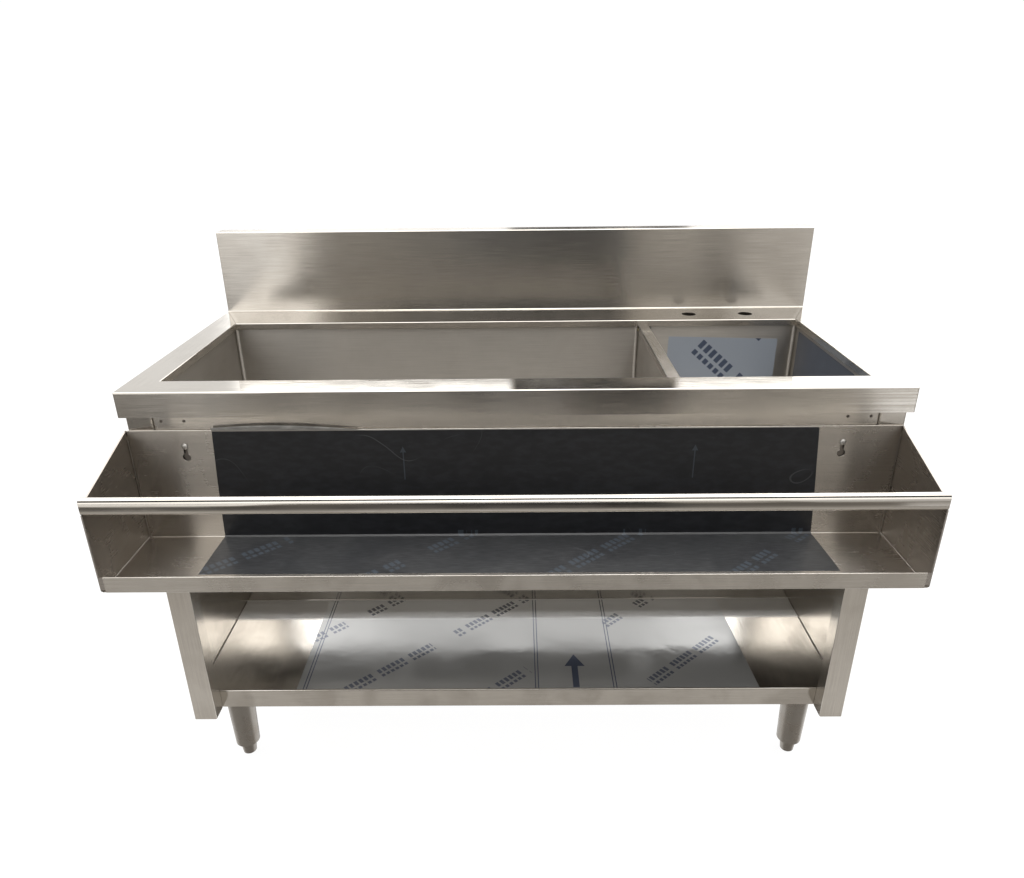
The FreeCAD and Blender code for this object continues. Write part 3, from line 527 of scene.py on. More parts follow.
def worktop_marks_and_painted_light(t, point, base, rough):
    """Ground mitres, and a painted highlight and painted dark reflections on the apron."""
    x, y, z = t.split(point)
    out = t.minus(t.magnitude(x), OPENING_SIDE)
    away = t.minus(t.times(out, MITRE_SLOPE), t.minus(y, OPENING_BACK))
    top = on_deck(t, z)
    beside = t.times(top, t.above(out, 0.0))
    mitre = t.times(beside, t.within(away, 0.0, 2.2 * MM))
    polish = t.times(beside, t.ease(t.magnitude(away), 12 * MM, 30 * MM, 1.0, 0.0))
    base = t.tint(base, polish, 0.4, (0.80, 0.77, 0.73))
    base = t.tint(base, mitre, 0.7, (0.24, 0.21, 0.18))
    apron = t.below(y, APRON_FACE)
    # Painted highlight: the apron's right end is lightened in level streaks, standing in for a bright
    # reflection.
    right = t.times(t.times(apron, t.above(x, 0.0)), t.ease(x, 0.58, 0.74))
    lines = t.noise(t.join(t.times(x, 3.0), 0.0, t.times(z, 190.0)))
    painted_highlight = t.times(right, t.ease(lines, 0.35, 0.7))
    base = t.tint(base, painted_highlight, 0.75, (0.92, 0.90, 0.87))
    # Painted reflection: darker patches round the middle right and at the left end of the apron stand in
    # for the reflected dark room.
    dull = t.plus(t.ease(t.apart(x, 0.21), 0.05, 0.16, 0.5, 0.0), t.ease(x, -0.62, -0.42, 0.3, 0.0))
    base = t.tint(base, apron, dull, (0.14, 0.125, 0.11))
    return base, t.minus(rough, t.times(top, 0.10))


def keyhole_painted_shade(t, point, base, rough):
    """Painted shade on the panel behind the trough's keyholes, where it is seen through the holes."""
    low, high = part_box("hanging_screws")
    x, _, z = t.split(point)
    tall = t.within(z, (low.z + high.z) / 2 - 8 * MM, 22 * MM)
    keyhole_shade = 0.0
    for middle in (low.x + 6 * MM, high.x - 6 * MM):
        keyhole_shade = t.most(keyhole_shade, t.within(x, middle, 8.5 * MM))
    keyhole_shade = t.times(keyhole_shade, tall)
    return t.tint(base, keyhole_shade, 0.8, (0.10, 0.085, 0.075)), rough


def shelf_back_painted_light(t, point):
    """1 along the back of the shelf, where a pale, rougher patch is painted in for the bright light that
    falls there from behind.
    """
    y = t.split(point)[1]
    return t.times(t.facing_up(), t.ease(y, SHELF_BACK - 96 * MM, SHELF_BACK - 76 * MM))


def tray_painted_shade(t, point, base, rough):
    """A tray with painted shade inside it, so that it is darker inside than on its front lip."""
    inside = t.above(t.split(point)[1], TROUGH_INSIDE)
    return t.tint(base, inside, 0.35, (0.25, 0.225, 0.2)), rough


def bowl_marks(t, point, base, rough):
    """A duller brim."""
    brim = t.ease(t.split(point)[2], BRIM_START, BRIM_END)
    return t.tint(base, brim, 0.25, (0.30, 0.28, 0.26)), rough


# -------- prints on the films
ROWS = {"Slant": 0.73, "Row": 0.225, "Height": 0.0075}
SHELF_LINES = (-0.490, 0.0462, 0.2265)
SHELF_ARROW_TIP = -0.0813
TROUGH_ARROWS = (-0.215, 0.345)
TROUGH_ARROW_TIP = 0.838
TROUGH_FLOOR_TOP = 0.655


def shelf_prints(t, point):
    """Pairs of fine lines, an arrow and slanted rows of dashes."""
    x, y, _ = t.split(point)
    mask = 0.0
    for middle in SHELF_LINES:
        for side in (-0.0035, 0.0035):
            mask = t.most(mask, t.within(x, middle + side, 0.0011))
    shaft = t.times(t.within(x, 0.1371, 0.0075), t.within(y, -0.163, 0.038))
    run = t.minus(SHELF_ARROW_TIP, y)
    inside = t.below(t.apart(x, 0.1375), t.times(run, 0.55))
    head = t.times(inside, t.within(run, 0.022, 0.022))
    mask = t.most(mask, t.most(shaft, head))
    rows = t.group("Dashes", Across=x, Up=y, **ROWS)["Mask"]
    rows = t.times(rows, t.above(t.apart(x, 0.136), 0.085))
    return t.most(mask, t.times(rows, 0.85))


def sink_prints(t, point):
    """Slanted rows of dashes."""
    x, _, z = t.split(point)
    return t.group("Dashes", Across=x, Up=z, Slant=-0.72, Row=0.13, Height=0.011)["Mask"]


def trough_prints(t, point):
    """Faint arrows on the upright part, and faint rows on the trough's floor."""
    x, y, z = t.split(point)
    mask = 0.0
    for middle in TROUGH_ARROWS:
        stem = t.times(t.within(x, middle, 0.0011), t.within(z, 0.800, 0.032))
        run = t.minus(TROUGH_ARROW_TIP, z)
        inside = t.below(t.apart(x, middle), t.times(run, 0.5))
        head = t.times(inside, t.within(run, 0.006, 0.006))
        mask = t.most(mask, t.most(stem, head))
    rows = t.group("Dashes", Across=x, Up=y, **ROWS)["Mask"]
    rows = t.times(rows, t.below(z, TROUGH_FLOOR_TOP))
    return t.most(t.times(mask, 0.5), t.times(rows, 0.5))


# -------- mesh helpers
SHARP = math.radians(35)
SHEET = 1.2 * MM
CLING = 0.06 * MM
BULGE = 0.6 * MM


def add_mesh(name, bm):
    """An object made from a bmesh, which it uses up."""
    mesh = bpy.data.meshes.new(name)
    bm.to_mesh(mesh)
    bm.free()
    made = bpy.data.objects.new(name, mesh)
    bpy.context.scene.collection.objects.link(made)
    return made


def piece(name, bm, material, body, slot, replaced=(), smooth=True):
    """A finished piece in the frame: its mesh, material and body. The slot argument is not used."""
    bmesh.ops.recalc_face_normals(bm, faces=bm.faces[:])
    made = add_mesh(name, bm)
    for polygon in made.data.polygons:
        polygon.use_smooth = smooth
    made.data.materials.append(material)
    if smooth:
        made.data.set_sharp_from_angle(angle=SHARP)
    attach(made, body)
    if replaced:
        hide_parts(*replaced)
    return made


def turned_to(axis, centre=Vector()):
    """A matrix that turns Z to an axis and moves to a centre."""
    return Matrix.Translation(centre) @ Z.rotation_difference(axis).to_matrix().to_4x4()


def turned_bm(profile, steps, bm, axis, centre):
    """Add a solid turned about an axis from (radius, height) pairs. It leaves its points tagged."""
    verts = [bm.verts.new((radius, 0, up)) for radius, up in profile]
    edges = [bm.edges.new(pair) for pair in zip(verts, verts[1:])]
    bmesh.ops.spin(bm, geom=verts + edges, cent=(0, 0, 0), axis=Z, dvec=(0, 0, 0),
                   angle=math.tau, steps=steps, use_merge=True)
    bmesh.ops.remove_doubles(bm, verts=linked(verts[0]), dist=1e-6)
    fresh = [v for v in bm.verts if not v.tag]
    bmesh.ops.transform(bm, verts=fresh, matrix=turned_to(axis, centre))
    for vert in fresh:
        vert.tag = True


def linked(start):
    """Every vertex joined to one by edges, in a steady order."""
    found = [start]
    known = {start}
    for vert in found:
        for edge in vert.link_edges:
            other = edge.other_vert(vert)
            if other not in known:
                known.add(other)
                found.append(other)
    return found


def along_path(path, share_of):
    """The point at a share of a path's length."""
    lengths = [(b - a).length for a, b in zip(path, path[1:])]
    left = share_of * sum(lengths)
    for start, end, run in zip(path, path[1:], lengths):
        if left <= run:
            return start.lerp(end, left / run)
        left -= run
    return path[-1].copy()


def wire(bm, points, radius, sides=6):
    """A closed thin rim along points that lie in one upright plane."""
    rings = []
    count = len(points)
    for i, point in enumerate(points):
        way = (points[(i + 1) % count] - points[i - 1]).normalized()
        out = way.cross(Y).normalized()
        ring = []
        for k in range(sides):
            angle = math.tau * k / sides
            ring.append(bm.verts.new(point + radius * (math.cos(angle) * out + math.sin(angle) * Y)))
        rings.append(ring)
    for i in range(count):
        ring, after = rings[i], rings[(i + 1) % count]
        for k in range(sides):
            bm.faces.new((ring[k], ring[k - 1], after[k - 1], after[k]))


def sheet_piece(name, place, across, up, *rest):
    """A film as a piece: a thin grid put in place by a function of two shares."""
    bm = bmesh.new()
    bmesh.ops.create_grid(bm, x_segments=across, y_segments=up, size=0.5)
    for vert in bm.verts:
        vert.co = place(vert.co.x + 0.5, vert.co.y + 0.5)
    bmesh.ops.recalc_face_normals(bm, faces=bm.faces[:])
    bmesh.ops.solidify(bm, geom=bm.faces[:], thickness=bpy.context.scene.bar_detail.film)
    return piece(name, bm, *rest)


def swell(*place):
    """Soft noise at a place, where it rises above zero."""
    return max(noise.noise(Vector(place)), 0)


# -------- operators
class BARSINK_OT_node_groups(bpy.types.Operator):
    """Make the grain, smudge, scratch and print patterns"""
    bl_idname = "bar_sink.node_groups"
    bl_label = "Surface patterns"

    def execute(self, context):
        make_brush_lines()
        make_smudges()
        make_scratches()
        make_dashes()
        return {"FINISHED"}


class BARSINK_OT_steel(bpy.types.Operator):
    """Finish the worktop, the bowls, the frame, the trough and the feet"""
    bl_idname = "bar_sink.steel"
    bl_label = "Steel"

    def execute(self, context):
        look = context.scene.bar_steel
        clean = look.clean
        dull = look.dull
        plain = ["front_rail", "rear_rail", "base_runner_left", "base_runner_right",
                 "rear_stretcher", "rear_panel", "foot_plates", "ice_bin_casing"]
        feet = [name for name in NODES if name.startswith(("foot_body", "foot_insert"))]
        drains = ["ice_bin_waste", "sink_waste", "ice_bin_waste_nut", "sink_waste_nut"]
        dress(["worktop"], steel("Worktop steel", clean, worktop_grain, look.roughness, look.grain,
                                 0.22, 0.20, extra=worktop_marks_and_painted_light))
        dress(["ice_bin_bowl", "sink_bowl"],
              steel("Bowl steel", (0.44, 0.42, 0.39), sheet_grain, 0.36, 0.10, 0.3, extra=bowl_marks))
        dress(["bowl_divider"], steel("Divider steel", dull, sheet_grain, 0.12, 0.12, 0.75, 0.06))
        dress(["side_panel_left", "side_panel_right"],
              steel("Side steel", clean, upright_grain, 0.18, 0.06, 0.2))
        dress(["front_panel"],
              steel("Panel steel", clean, sheet_grain, 0.16, 0.06, 0.25, 0.10, extra=keyhole_painted_shade))
        dress(["bottom_shelf"],
              steel("Shelf steel", clean, shelf_grain, 0.16, 0.06, 0.25, 0.10, painted_light_patch=shelf_back_painted_light))
        dress(["trough_tray"],
              steel("Trough steel", clean, sheet_grain, 0.24, 0.10, 0.4, 0.11, extra=tray_painted_shade))
        dress(["trough_end_left", "trough_end_right"],
              steel("End steel", (0.36, 0.335, 0.31), sheet_grain, 0.26, 0.10, 0.7, 0.13))
        dress(["trough_front_rail", "rail_cap_left", "rail_cap_right"],
              steel("Rail steel", clean, sheet_grain, 0.12, 0.05, 0.15, extra=rail_painted_shade, bend=rail_bend))
        dress(plain, steel("Plain steel", dull, sheet_grain, 0.38, 0.10, 0.4))
        dress(feet, steel("Foot steel", (0.31, 0.29, 0.265), turned_grain, 0.24, 0.12, 0.6, 0.03))
        dress(drains, steel("Drain steel", clean, turned_grain, 0.18, 0.3, 0.15, 0.03))
        return {"FINISHED"}


class BARSINK_OT_soft_goods(bpy.types.Operator):
    """Finish the foam jacket and the drain gaskets"""
    bl_idname = "bar_sink.soft_goods"
    bl_label = "Foam and rubber"

    def execute(self, context):
        made, t, sockets, point = shader("Foam", 0.9, 0.0)
        cells = t.add("TexVoronoi", {"Vector": point, "Scale": 520.0}).outputs["Distance"]
        tone = t.mix(cells, (0.72, 0.62, 0.36, 1), (0.90, 0.83, 0.58, 1))
        t.feed(sockets["Base Color"], tone)
        t.feed(sockets["Normal"], t.bump(cells, 0.5, 1 * MM))
        dress(["ice_bin_insulation"], made)
        made, t, sockets, point = shader("Rubber", 0.7, 0.0)
        grit = t.noise(point, scale=900.0, detail=2)
        t.feed(sockets["Base Color"], t.mix(grit, (0.02, 0.02, 0.02, 1), (0.06, 0.06, 0.06, 1)))
        t.feed(sockets["Normal"], t.bump(grit, 0.2, 0.3 * MM))
        dress(["ice_bin_waste_gasket", "sink_waste_gasket"], made)
        return {"FINISHED"}


class BARSINK_OT_trough_film(bpy.types.Operator):
    """Lay the black film over the trough's back and floor, with its loose top edge"""
    bl_idname = "bar_sink.trough_film"
    bl_label = "Trough film"

    def execute(self, context):
        look = context.scene.bar_film
        curl = context.scene.bar_detail.curl
        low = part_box("trough_film")[0]
        gap = 0.1 * MM
        floor = low.z + gap
        tray_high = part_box("trough_tray")[1]
        brim = tray_high.z
        back = tray_high.y - SHEET - gap
        hem_face = back - 1.6 * MM
        bend = 2.2 * MM
        path = [Vector((low.y, floor))]
        for i in range(6):
            angle = math.pi / 2 * i / 5
            path.append(Vector((back - bend * (1 - math.sin(angle)),
                                floor + bend * (1 - math.cos(angle)))))
        path += [Vector((back, brim - 70 * MM)), Vector((hem_face, brim - 17 * MM)),
                 Vector((hem_face, brim - SHEET))]

        def place(u, v):
            left = -0.5897 + 0.0141 * v ** 2
            right = 0.5990 - 0.0240 * v ** 1.5
            x = left + (right - left) * u
            y, z = along_path(path, v)
            lift = 0.3 * MM * swell(x * 9, v * 14, 0.3)
            if z > floor + 4 * MM:
                y -= lift
                z -= 2 * MM * max(u - 0.985, 0) / 0.015 * max(v - 0.97, 0) / 0.03
            else:
                z += lift
            return Vector((x, y, z))

        skin = film("Black film", look.black, 0.0, 0.34, trough_prints, 0.05, 0.68, brim - 1.8 * MM)
        sheet_piece("trough_film_sheet", place, 120, 72, skin, "trough", "film_black", ["trough_film"])

        def curl_place(u, v):
            rise = curl * math.sin(math.pi * (0.2 + 0.8 * u))
            lean = math.sin(v * math.pi / 2)
            return Vector((-0.576 + 0.297 * u, hem_face - 0.35 * MM - 3 * MM * lean * rise / curl,
                           brim - 1.5 * MM + rise * v))

        loose = film("Loose film", (0.36, 0.355, 0.345), 0.0, 0.3, edge=brim - 0.9 * MM)
        sheet_piece("trough_film_curl", curl_place, 60, 10, loose, "trough", "film_black")
        return {"FINISHED"}


class BARSINK_OT_shelf_film(bpy.types.Operator):
    """Lay the printed clear film on the shelf"""
    bl_idname = "bar_sink.shelf_film"
    bl_label = "Shelf film"

    def execute(self, context):
        look = context.scene.bar_film
        low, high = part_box("shelf_film")

        def place(u, v):
            left = low.x - 18 * MM
            right = high.x + 12 * MM - 18 * MM * v
            x = left + (right - left) * u
            y = low.y + (high.y - low.y) * v
            edge = min(u, 1 - u, v, 1 - v) * 12
            rise = 0.5 * MM * swell(x * 6, y * 6, 1.7) * min(edge, 1)
            return Vector((x, y, low.z + CLING + rise))

        skin = film("Clear film", look.clear, 0.38, 0.08, shelf_prints, 0.04, painted_light_patch=shelf_back_painted_light)
        sheet_piece("shelf_film_sheet", place, 110, 40, skin, "frame", "film_clear", ["shelf_film"])
        return {"FINISHED"}


class BARSINK_OT_sink_films(bpy.types.Operator):
    """Lay the pale and dark films on two walls of the sink"""
    bl_idname = "bar_sink.sink_films"
    bl_label = "Sink films"

    def execute(self, context):
        look = context.scene.bar_film
        low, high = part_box("sink_film_back")

        def back_place(u, v):
            left = low.x - 4 * MM * (1 - v)
            x = left + (high.x - left) * u
            z = low.z + (high.z + (0.5 - u) * 8 * MM - low.z) * v
            return Vector((x, high.y - CLING - BULGE * swell(x * 14, z * 14, 4.1), z))

        pale = film("Pale film", look.pale, 0.25, 0.32, sink_prints, 0.04)
        sheet_piece("sink_film_back_sheet", back_place, 40, 30, pale, "frame", "film_clear",
                    ["sink_film_back"])
        near_low, near_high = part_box("sink_film_side")

        def side_place(u, v):
            y = near_low.y + (near_high.y - near_low.y) * u
            z = near_low.z + (near_high.z - near_low.z) * v
            return Vector((near_high.x - CLING - BULGE * swell(y * 14, z * 14, 7.7), y, z))

        dark = film("Dark film", look.dark, 0.2, 0.30, None, 0.10)
        sheet_piece("sink_film_side_sheet", side_place, 40, 30, dark, "frame", "film_blue",
                    ["sink_film_side"])
        return {"FINISHED"}


def hex_screw(bm, seat, across_flats, height):
    """A hexagon head with a chamfered crown, which hangs under its seat."""
    radius = across_flats / math.sqrt(3)
    head = bmesh.ops.create_cone(bm, cap_ends=True, segments=6, radius1=radius, radius2=radius,
                                 depth=height)
    top = [v for v in head["verts"] if v.co.z > 0]
    rim = [e for e in bm.edges if all(v in top for v in e.verts)]
    bevelled = bmesh.ops.bevel(bm, geom=rim, offset=radius * 0.16, affect="EDGES", segments=2,
                               profile=0.5, material=-1)
    bmesh.ops.transform(bm, verts=linked(bevelled["verts"][0]),
                        matrix=turned_to(-Z, seat - Z * height / 2))


class BARSINK_OT_screws(bpy.types.Operator):
    """Make the trough's screws, the panel's rivets and the screws of the foot plates"""
    bl_idname = "bar_sink.screws"
    bl_label = "Screws and rivets"

    def execute(self, context):
        turns = context.scene.bar_detail.turns
        zinc = steel("Zinc plate", (0.46, 0.45, 0.43), turned_grain, 0.34, 0.1, 0.4, 0.01)
        dress(["rivet_nuts"], zinc)
        low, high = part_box("hanging_screws")
        tall = 3.5 * MM
        head = 6 * MM
        shank = 3 * MM
        tip = -23.5 * MM
        line = (low.z + high.z) / 2
        dome = [(0, tall), (head * 0.45, tall * 0.96), (head * 0.75, tall * 0.74),
                (head * 0.95, tall * 0.36), (head, 0), (shank, 0), (shank, tip + 1.5 * MM),
                (shank * 0.6, tip), (0, tip)]
        bm = bmesh.new()
        cutter = bmesh.new()
        for x in (low.x + head, high.x - head):
            turned_bm(dome, turns, bm, -Y, Vector((x, low.y + tall, line)))
            for wide, high_part in ((head * 1.1, 1.1 * MM), (1.1 * MM, head * 1.1)):
                verts = bmesh.ops.create_cube(cutter, size=1.0)["verts"]
                bmesh.ops.scale(cutter, verts=verts, vec=(wide, 3.6 * MM, high_part))
                bmesh.ops.translate(cutter, verts=verts, vec=(x, low.y, line))
        carve(piece("trough_screws", bm, zinc, "frame", "zinc", ["hanging_screws"]), cutter)
        low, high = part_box("panel_rivets")
        radius = (high.z - low.z) / 2
        dome = [(0, radius * 0.42), (radius * 0.5, radius * 0.36), (radius * 0.85, radius * 0.18),
                (radius, 0), (radius, -0.2 * MM), (0, -0.2 * MM)]
        inner = HALF_WIDTH - 64 * MM
        bm = bmesh.new()
        for sign in (-1, 1):
            for inset in (15.5 * MM, 59 * MM):
                spot = Vector((sign * (inner - inset), high.y, (low.z + high.z) / 2))
                turned_bm(dome, turns, bm, -Y, spot)
        dark = steel("Rivet steel", (0.10, 0.085, 0.075), turned_grain, 0.5, 0.12, 0.3)
        piece("panel_rivet_heads", bm, dark, "frame", "stainless", ["panel_rivets"])
        bm = bmesh.new()
        reach = 26.5 * MM
        for corner in ("front_left", "front_right", "rear_left", "rear_right"):
            low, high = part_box("foot_body_" + corner)
            middle = (low + high) / 2
            for side in (-reach, reach):
                for end in (-reach, reach):
                    hex_screw(bm, Vector((middle.x + side, middle.y + end, high.z)), 8 * MM, 3.4 * MM)
        piece("foot_plate_screws", bm, zinc, "frame", "zinc", smooth=False)
        return {"FINISHED"}


def carve(target, cutter):
    """Take a closed mesh out of a piece."""
    bmesh.ops.recalc_face_normals(cutter, faces=cutter.faces[:])
    tool = add_mesh("cutter", cutter)
    mesh = tool.data
    modifier = target.modifiers.new("carve", "BOOLEAN")
    modifier.operation = "DIFFERENCE"
    modifier.solver = "EXACT"
    modifier.object = tool
    modifier.use_self = True
    graph = bpy.context.evaluated_depsgraph_get()
    result = bpy.data.meshes.new_from_object(target.evaluated_get(graph))
    target.modifiers.clear()
    target.data = result
    bpy.data.objects.remove(tool)
    bpy.data.meshes.remove(mesh)


def weld_bead(bm, start, end, width, seed):
    """A rippled bead along a line: a ring drawn out step by step."""
    way = end - start
    count = max(int(way.length / bpy.context.scene.bar_detail.ripple), 2)
    ring = bmesh.ops.create_circle(bm, segments=8, radius=1.0, cap_ends=True)["verts"]
    bmesh.ops.transform(bm, verts=ring, matrix=turned_to(way.normalized()))
    for vert in ring:
        vert.co = start + vert.co * width * 0.18
    edges = dict.fromkeys(e for v in ring for e in v.link_edges)
    front = [e for e in edges if all(v in ring for v in e.verts)]
    centre = start.copy()
    for i in range(1, count + 1):
        made = bmesh.ops.extrude_edge_only(bm, edges=front)["geom"]
        verts = [g for g in made if isinstance(g, bmesh.types.BMVert)]
        front = [g for g in made if isinstance(g, bmesh.types.BMEdge)
                 and all(v in verts for v in g.verts)]
        target = start + way * (i / count)
        wobble = noise.noise(Vector((i * 0.7, seed, 0)))
        size = width * (0.5 + 0.07 * math.cos(i * math.pi) + 0.08 * wobble)
        if i == count:
            size = width * 0.18
        for vert in verts:
            vert.co = target + (vert.co - centre).normalized() * size
        centre = target
    bmesh.ops.contextual_create(bm, geom=front)


class BARSINK_OT_welds(bpy.types.Operator):
    """Lay the weld beads along the trough's corners and the shelf's ends"""
    bl_idname = "bar_sink.welds"
    bl_label = "Weld beads"

    def execute(self, context):
        width = context.scene.bar_detail.bead
        bead = steel("Weld bead", (0.36, 0.33, 0.30), upright_grain, 0.38, 0.05, 0.5, 0.012)
        low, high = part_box("trough_tray")
        inset = 1.1 * MM
        y = high.y - SHEET - inset
        z = low.z + SHEET + inset
        bm = bmesh.new()
        for sign, x in ((-1, low.x + inset), (1, high.x - inset)):
            corner = Vector((x, y, z))
            weld_bead(bm, corner, Vector((x, y, high.z - 20 * MM)), width, 1.3 + sign)
            weld_bead(bm, corner, Vector((x, low.y + 8 * MM, z)), width, 5.3 + sign)
        piece("trough_welds", bm, bead, "trough", "stainless")
        low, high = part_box("bottom_shelf")
        inset = 0.8 * MM
        z = SHELF_TOP + inset
        bm = bmesh.new()
        for sign, x in ((-1, low.x + inset), (1, high.x - inset)):
            weld_bead(bm, Vector((x, low.y + 20 * MM, z)), Vector((x, high.y - 6 * MM, z)),
                      width * 0.8, 9.0 + sign)
        piece("shelf_welds", bm, bead, "frame", "stainless")
        return {"FINISHED"}


class BARSINK_OT_keyhole_rims(bpy.types.Operator):
    """Raise the bright burr round the trough's two keyholes"""
    bl_idname = "bar_sink.keyhole_rims"
    bl_label = "Keyhole rims"

    def execute(self, context):
        low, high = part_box("hanging_screws")
        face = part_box("trough_tray")[1].y - SHEET
        slot = 4 * MM
        hole = 8 * MM
        top = (low.z + high.z) / 2 - 0.7 * MM
        bottom = top - 22 * MM
        meet = math.asin(slot / hole)
        bm = bmesh.new()
        for x in (low.x + 6 * MM, high.x - 6 * MM):
            rim = []
            for i in range(25):
                angle = meet + (math.tau - 2 * meet) * i / 24
                rim.append(Vector((x + hole * math.sin(angle), face, bottom + hole * math.cos(angle))))
            for i in range(13):
                angle = -math.pi / 2 + math.pi * i / 12
                rim.append(Vector((x + slot * math.sin(angle), face, top + slot * math.cos(angle))))
            wire(bm, rim, 0.45 * MM)
        bright = steel("Burr steel", context.scene.bar_steel.clean, upright_grain, 0.2, 0.05, 0.1)
        piece("keyhole_rims", bm, bright, "trough", "stainless")
        return {"FINISHED"}


class BARSINK_OT_strainer(bpy.types.Operator):
    """Make the sink's lift-out strainer basket with its rows of holes"""
    bl_idname = "bar_sink.strainer"
    bl_label = "Strainer"

    def execute(self, context):
        turns = 48
        low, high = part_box("sink_strainer")
        x, y, _ = (low + high) / 2
        base = low.z
        rim = (high.x - low.x) / 2
        wall = 0.8 * MM
        cup = rim - 3.8 * MM
        top = base + 22 * MM + wall
        stem = 7 * MM
        profile = [(stem, base + wall), (cup - 4 * MM, base + wall), (cup - wall, base + 4.6 * MM),
                   (cup - wall, top), (rim, top), (rim, top - wall), (cup, top - wall),
                   (cup, base + 4 * MM), (cup - 3.6 * MM, base), (stem, base), (stem, base + wall)]
        knob = [(0, -0.6), (7, -0.6), (7, 1.5), (3.2, 3), (3, 7), (6.2, 9), (7, 11), (6, 12.6), (0, 13)]
        polished = steel("Strainer steel", (0.72, 0.70, 0.67), turned_grain, 0.16, 0.2, 0.2, 0.02)
        bm = bmesh.new()
        turned_bm(profile, turns, bm, Z, Vector((x, y, 0)))
        basket = piece("sink_strainer_basket", bm, polished, "strainer", "stainless", ["sink_strainer"])
        cutter = bmesh.new()
        for radius, count in ((12 * MM, 10), (18 * MM, 14), (24 * MM, 20)):
            for i in range(count):
                angle = math.tau * i / count
                verts = bmesh.ops.create_cone(cutter, cap_ends=True, segments=10, radius1=1.6 * MM,
                                              radius2=1.6 * MM, depth=4 * MM)["verts"]
                spot = (x + radius * math.cos(angle), y + radius * math.sin(angle), base + wall / 2)
                bmesh.ops.translate(cutter, verts=verts, vec=spot)
        carve(basket, cutter)
        bm = bmesh.new()
        turned_bm([(radius * MM, base + up * MM) for radius, up in knob], turns, bm, Z, Vector((x, y, 0)))
        piece("sink_strainer_knob", bm, polished, "strainer", "stainless")
        return {"FINISHED"}


# -------- stage
# Glow of the room in front at (place across, level) stops, at the floor, at the height of the trough
# and above the deck.
FOOT_BANDS = ((-3, 0.2), (-2.3, 0.22), (-2, 0.12), (-1.4, 0.12), (-1.05, 0.2), (-0.98, 0.13),
              (-0.85, 0.13), (-0.78, 0.19), (-0.42, 0.18), (-0.34, 0.05), (-0.2, 0.05), (-0.14, 0.15),
              (0.2, 0.13), (0.42, 0.08), (0.5, 0.03), (0.66, 0.03), (0.74, 0.1), (0.9, 0.22),
              (1.5, 0.33), (1.95, 0.45), (2.05, 1.5), (2.4, 1.5), (3, 0.5))
LOW_BANDS = ((-3, 0.5), (-2.3, 0.55), (-1.9, 1.05), (-1.6, 1.05), (-1.48, 0.55), (-1.36, 0.32),
             (-1.2, 0.28), (-1.12, 0.34), (-0.85, 0.3), (-0.7, 0.27), (-0.5, 0.25), (-0.3, 0.18),
             (-0.1, 0.13), (0.3, 0.09), (0.6, 0.1), (0.75, 0.18), (0.88, 0.33), (1.2, 0.38),
             (1.3, 0.24), (1.42, 0.25), (1.52, 0.42), (2, 0.56), (3, 0.55))
HIGH_BANDS = ((-3, 1.6), (-2.2, 2), (-1.42, 2), (-1.32, 0.55), (-1.2, 0.35), (-0.4, 0.13), (0.72, 0.11),
              (0.85, 0.7), (1.2, 0.85), (1.42, 0.5), (1.55, 1.1), (3, 1.2))
CARD_SPAN = 3
CARD_PEAK = 2.0
SKY_SPAN = 90
SKY_PEAK = 3.0
CAMERA_SPOT = (0.0059, -1.6239, 1.4192)
CAMERA_SHIFT = 0.0303
WHITE = (1, 1, 1, 1)
WARM = (1.0, 0.94, 0.86, 1)
NEUTRAL = (1.0, 0.99, 0.975, 1)
# Glow of the sky at (degrees up, level) stops, in front and behind.
FRONT_LEVELS = ((-90, 0.24), (-52, 0.30), (-45, 0.46), (-38, 0.72), (-32, 0.60), (-26, 0.45), (-20, 0.30),
                (-5, 0.13), (22, 0.16), (32, 0.7), (42, 1.8), (60, 2.2), (90, 2.2))
BACK_LEVELS = ((-90, 0.5), (-60, 0.9), (-40, 1.25), (-24, 1.2), (-13, 0.75), (8, 0.75), (16, 2.4),
               (45, 2.3), (60, 2.0), (90, 2.2))


def levels(t, angle, stops, span, peak):
    """A level read off (degrees, level) stops over plus and minus a span."""
    place = t.plus(t.times(angle, 0.5 / span), 0.5)
    grey = t.ramp(place, [((a / span + 1) / 2, level / peak) for a, level in stops])
    return t.times(grey, peak)


def make_world(strength):
    """Soft surroundings: bright behind, grey-brown and banded in front, white to the camera."""
    world = bpy.data.worlds.new("Surroundings")
    bpy.context.scene.world = world
    world.use_nodes = True
    t = Tree(world.node_tree)
    x, y, z = t.split(t.add("TexCoord").outputs["Generated"])
    up = t.times(t.math("ARCSINE", z), 180 / math.pi)
    turned = t.times(t.math("ARCTAN2", x, y), 180 / math.pi)
    front = levels(t, up, FRONT_LEVELS, SKY_SPAN, SKY_PEAK)
    back = levels(t, up, BACK_LEVELS, SKY_SPAN, SKY_PEAK)
    aside = t.ease(t.magnitude(turned), 8.0, 18.0, 0.0, 0.6)
    high = t.times(aside, t.ease(up, 24.0, 32.0))
    back = t.times(back, t.plus(high, 1.0))
    left = t.times(t.ease(turned, -21.5, -19.5, 1.0, 0.0), t.ease(up, 24.0, 32.0, 1.0, 0.0))
    back = t.blend(left, back, 1.05)
    beside = t.apart(turned, 5.85)
    dark = t.times(t.ease(beside, 5.9, 6.8, 1.0, 0.0), t.ease(up, 22.0, 28.0, 1.0, 0.0))
    back = t.blend(dark, back, 0.0)
    level = t.blend(t.ease(y, -0.25, 0.2), front, back)
    warm = t.mix(t.ease(level, 0.3, 1.1), WARM, NEUTRAL)
    seen = t.add("LightPath").outputs["Is Camera Ray"]
    sockets = world.node_tree.nodes["Background"].inputs
    t.feed(sockets["Color"], t.mix(seen, warm, WHITE))
    t.feed(sockets["Strength"], t.blend(seen, t.times(level, strength), 1.02))


